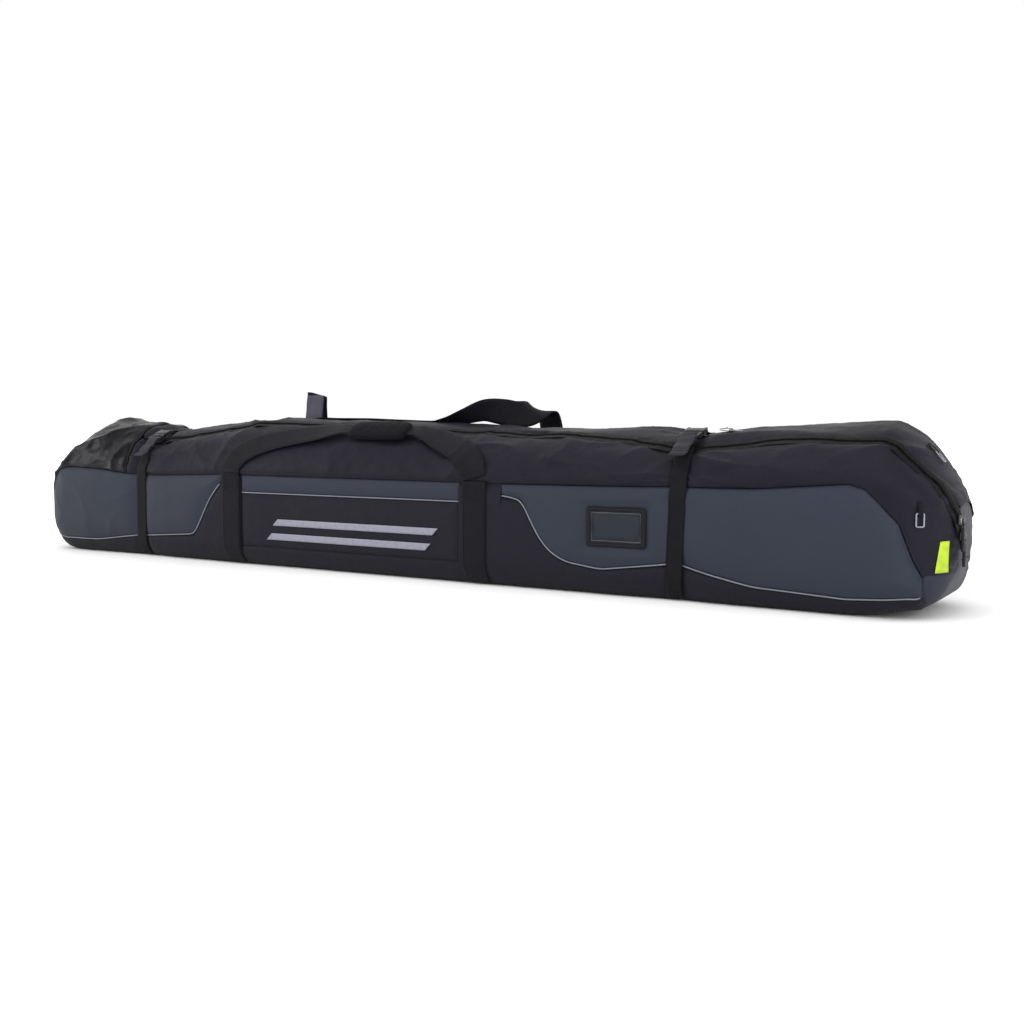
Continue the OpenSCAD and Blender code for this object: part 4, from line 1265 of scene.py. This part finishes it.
def pull(end):
    """A wire loop through the slider's bridge, with a ribbed rubber grip moulded on it."""
    low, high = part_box(f"pull_{end}")
    cx, cy = (low.x + high.x) / 2, (low.y + high.y) / 2
    top, bottom = high.z - 0.001, low.z
    loop = [(cx, cy - 0.0030, top), (cx, cy + 0.0030, top), (cx, cy + 0.0034, top - 0.005),
            (cx, cy + 0.0034, top - 0.013), (cx, cy - 0.0034, top - 0.013), (cx, cy - 0.0034, top - 0.005)]
    wire = tube("wire", np.array(loop), 0.0008, 8, closed=True)
    grip = block("grip", (cx - 0.0019, 0, cy - 0.0042),
                 (cx + 0.0019, top - 0.0115 - bottom, cy + 0.0042), 0.0014)
    grip.data.transform(Matrix(((1, 0, 0, 0), (0, 0, 1, 0), (0, 1, 0, bottom), (0, 0, 0, 1))))
    fix_normals(grip)
    ribs = [block(f"rib_{k}", (cx - 0.0024, cy - 0.0036, bottom + 0.006 + k * 0.0036),
                  (cx + 0.0024, cy + 0.0036, bottom + 0.0078 + k * 0.0036), 0.0006) for k in range(5)]
    dress(join(f"pull_{end}_grip", [wire, grip] + ribs), MAT["pull"], f"pull_{end}",
          [f"pull_{end}"])


zipper()
for name in ("upper", "lower"):
    slider(name)
    pull(name)


# ---------------------------------------------------------------- lash rings
def lash_point(ring, tab, name, body):
    """A rectangular wire ring in a folded webbing tab; its box and hinge come from the frame."""
    hinge = joint(name)
    spot = Vector(hinge["pos_m"])
    across = Vector(hinge["axis"]).normalized()
    low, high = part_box(ring)
    hang = ((low + high) / 2 - spot).normalized()
    out = across.cross(hang) * -1
    if out.dot(Vector((0.3, -0.6, 1.0))) < 0:
        out = -out
    matrix = Matrix((across, -hang, out)).transposed().to_4x4()
    matrix.translation = spot
    w, reach = RING_W / 2 + 0.00125, RING_REACH
    corner = 0.0022
    path = []
    for cx, cy, start in ((w - corner, -corner, 0), (w - corner, -reach + corner, 90),
                          (-w + corner, -reach + corner, 180), (-w + corner, -corner, 270)):
        for k in range(5):
            a = math.radians(90 - start - k * 22.5)
            path.append((cx + corner * math.cos(a), cy + corner * math.sin(a), 0))
    wire = place(tube(f"{ring}_wire", path, RING_WIRE / 2, 10, closed=True), matrix)
    dress(wire, MAT["ring"], body[0], [ring])
    fold = spline([(0, 0.017, -0.0020), (0, 0.004, -0.0021), (0, -0.0025, -0.0018), (0, -0.0036, 0),
                   (0, -0.0025, 0.0018), (0, 0.004, 0.0021), (0, 0.017, -0.0002)], 36)
    cloth_tab = sweep(f"{tab}_web", fold, crosswise(36), band_section(0.0074, 0.0010))
    tack = stitches("tack", [(x, 0.0065, 0.0030) for x in np.linspace(-0.0036, 0.0036, 6)], [(0, 0, 1)] * 6,
                    0.0022, 0.0016, 0.0012)
    dress(place(cloth_tab, matrix), MAT["webbing"], body[1], [tab])
    dress(place(tack, matrix), MAT["thread"], body[1])


lash_point("lash_ring_front", "lash_tab_front", "front_ring_swing", ("lash_ring_front", "root"))
lash_point("lash_ring_lid", "lash_tab_lid", "lid_ring_swing", ("lash_ring_lid", "lid"))
lash_point("d_ring", "d_ring_tab", "d_ring_swing", ("d_ring", "lid"))


# ---------------------------------------------------------------- trim on the fabric
def on_front(x, z, lift):
    """Points on the front's fabric at heights z."""
    return surface(x, r_of_z(x, z), lift)


def patch(name, outline, lift, thick=0.0006, rows=6, cols=40):
    """A thin piece on the fabric: outline gives its left and right edge at each share of its height."""
    k = np.linspace(0, 1, rows)
    left, right, height = outline(k)
    s = np.linspace(0, 1, cols)
    x = left[:, None] * (1 - s) + right[:, None] * s
    z = np.repeat(height[:, None], cols, axis=1)
    point, normal = on_front(x, z, lift)
    low = point - normal * thick
    full = framed(point, low)
    uv = np.pad(np.stack([x, z], -1), ((1, 1), (1, 1), (0, 0)), mode="edge")
    piece = make(name, full.reshape(-1, 3), grid_faces(rows + 2, cols + 2), uv.reshape(-1, 2))
    fix_normals(piece)
    return piece


def badges():
    bars = []
    for k, (middle, shift) in enumerate(((0.062, -0.008), (0.090, 0.008))):
        def slanted(s, middle=middle, shift=shift):
            lean = shift + 0.013 * (s - 0.5)
            return -0.292 + lean, 0.092 + lean, middle + 0.0065 * (2 * s - 1)
        bars.append(patch(f"bar_{k}", slanted, 0.0032, cols=110))
    dress(join("side_badge_print", bars), MAT["silver"], "root", ["side_badge"])

    def leaf(s):
        return 0.9480 + 0.005 * s, 0.9605 + 0.001 * s, 0.070 + 0.045 * s
    dress(patch("end_badge_print", leaf, 0.0022, rows=14, cols=8), MAT["lime"], "root",
          ["end_badge"])


badges()


def piping(side):
    """Cord piping in the curved seams, with gaps where the straps cross it."""
    parts = []
    spans = ((0.239, 0.934, right_low), (-0.966, -0.434, left_low), (-0.376, 0.150, band_low))
    for k, (x0, x1, rule) in enumerate(spans):
        x = np.arange(x0, x1, 0.0035)
        r = smooth_run(rule(x), 3)
        point, _ = surface(x, r if side == "front" else 8 - r, -0.0002)
        parts.append(tube(f"cord_{k}", point, 0.00125, 8))
    dress(join(f"piping_{side}_cord", parts), MAT["piping"], "root", [f"piping_{side}"])


piping("front")
piping("back")


def seam_threads():
    """Top stitching beside the long seams."""
    rows = []
    for k, (x0, x1, offset) in enumerate(((-0.715, 0.83, 0.045), (-0.37, 0.145, -0.05))):
        x = np.arange(x0, x1, 0.004)
        rule = np.full(x.shape, FRONT_SEAM + offset) if k == 0 else band_low(x) + offset
        point, normal = surface(x, rule, 0.0016)
        rows.append(stitches(f"seam_row_{k}", point, normal))
    x = np.arange(-0.715, 0.83, 0.004)
    point, normal = surface(x, np.full(x.shape, BACK_SEAM - 0.05), 0.0016)
    back = stitches("back_row", point, normal)
    dress(join("seam_thread", rows), MAT["thread"], "root")
    dress(back, MAT["thread"], None)
    hinge_blend(back)


seam_threads()


# ---------------------------------------------------------------- name card window
def rounded_loop(width, height, corner, count=8):
    """Offsets round a rectangle with rounded corners, from its middle."""
    loop = []
    for sx, sz, start in ((1, 1, 0), (-1, 1, 90), (-1, -1, 180), (1, -1, 270)):
        for k in range(count):
            a = math.radians(start + 90 * k / (count - 1))
            loop.append((sx * (width / 2 - corner) + corner * math.cos(a),
                         sz * (height / 2 - corner) + corner * math.sin(a)))
    return np.array(loop)


def window_plane(offsets, lift):
    x, z = WINDOW_X + offsets[:, 0], WINDOW_Z + offsets[:, 1]
    y = -depth_at(x) - WINDOW_LIFT - lift
    return np.stack([x, y, z], 1)


def window():
    outer = rounded_loop(WINDOW_W, WINDOW_H, 0.006)
    steps = [(1.0, -0.0012), (1.0, 0.0008), (0.985, 0.0015), (0.90, 0.0016), (0.87, 0.0010), (0.865, 0.0002)]
    inner = rounded_loop(WINDOW_W - 0.016, WINDOW_H - 0.016, 0.003)
    rings = []
    for share, lift in steps:
        k = (1 - share) / 0.135
        rings.append(window_plane(outer * (1 - k) + inner * k, lift))
    m = len(outer)
    verts = np.array(rings)
    frame_piece = make("window_binding", verts.reshape(-1, 3), grid_faces(len(rings), m, closed=True),
                       np.tile(outer, (len(rings), 1)))
    fix_normals(frame_piece)
    dress(frame_piece, MAT["binding"], "root", ["window_frame"])
    row = window_plane(rounded_loop(WINDOW_W - 0.008, WINDOW_H - 0.008, 0.004, 10), 0.0017)
    row = np.concatenate([row, row[:1]])
    dress(stitches("window_thread", row, [(0, -1, 0)] * len(row), 0.0032, 0.0022, 0.0006),
          MAT["thread_grey"], "root")
    for name, node, inset, lift, material, slot_name, body_rows in (
            ("window_film", "window_pane", 0.0160, 0.0014, "film", "window_clear", 18),
            ("card_sheet", "name_card", 0.0220, 0.0002, "card", "card", 6)):
        u = np.linspace(-1, 1, body_rows * 2)
        v = np.linspace(-1, 1, body_rows)
        gu, gv = np.meshgrid(u, v, indexing="ij")
        flat = np.stack([gu.ravel() * (WINDOW_W - inset) / 2, gv.ravel() * (WINDOW_H - inset) / 2], 1)
        spots = window_plane(flat, lift)
        if name == "window_film":
            spots[:, 1] -= 0.0003 * wave(gu.ravel() * 2.2, gv.ravel() * 1.4, 83)
        piece = make(name, spots, grid_faces(len(u), len(v)), flat)
        fix_normals(piece)
        thick = piece.modifiers.new("thick", "SOLIDIFY")
        thick.thickness = 0.0002
        dress(apply_modifiers(piece), MAT[material], "root", [node])
    ring = window_plane(rounded_loop(WINDOW_W - 0.020, WINDOW_H - 0.020, 0.001, 3), 0.0004)
    dress(tube("card_border", ring, 0.00035, 6, closed=True), MAT["silver"], "root")


window()


# ---------------------------------------------------------------- inside the bag
def inner_cloth(name, x0, x1, low, high, depth, rows, node, up_side=0.0):
    """Lining that hangs at a depth inside the outline, and up_side deeper above the floor."""
    xs = np.linspace(x0, x1, 200)
    k = np.linspace(0, 1, rows)
    x = np.repeat(xs[:, None], rows, axis=1)
    r = low(xs)[:, None] * (1 - k) + high(xs)[:, None] * k
    wrinkle = 0.0022 * layers(x * 9, girth(x, r) * 9, 91) + 0.0018 * ridges(x * 7, girth(x, r) * 8, 95)
    point = skin(x, r)
    _, normal = surface(x, r)
    point = point - normal * (depth + up_side * step(np.abs(r), 1.0, 1.5) + wrinkle)[..., None]
    uv = np.stack([x, girth(x, r)], -1)
    piece = make(name, point.reshape(-1, 3), grid_faces(200, rows), uv.reshape(-1, 2))
    return dress(piece, MAT["lining"], None, [node])


def inside():
    tub = inner_cloth("lining_cloth", -0.89, 0.88, level(-2.85), level(2.85), 0.0145, 90, "lining_tub",
                      up_side=0.0055)
    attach(tub, "root")
    hinge_blend(inner_cloth("lid_inner_cloth", ZIP_END_X + 0.02, 0.88, lambda x: zip_r(x) + 0.06, level(5.14),
                            0.0090, 50, "lid_lining"))
    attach(inner_cloth("front_inner_cloth", ZIP_END_X, 0.90, level(2.8), lambda x: zip_r(x) - 0.06,
                        0.0070, 24, "front_top_panel"), "root")
    for name, x0 in (("left", -0.450), ("right", 0.400)):
        floor_z = 0.015 + 0.0045
        points = [(x0, s * a, floor_z + b) for s, turn in ((-1, 1), (1, -1))
                  for a, b in ((0.088, 0.062), (0.086, 0.022), (0.074, 0.002))[::turn]]
        path = spline(points, 60)
        dress(sweep(f"ski_strap_{name}_web", path, crosswise(60), band_section(0.038, WEB_T)),
              MAT["strap"], "root", [f"ski_strap_{name}"])
    for name in ("foam_base", "foam_front", "foam_back"):
        node = frame["nodes"][name]
        node.data.materials.clear()
        node.data.materials.append(MAT["foam"])


inside()
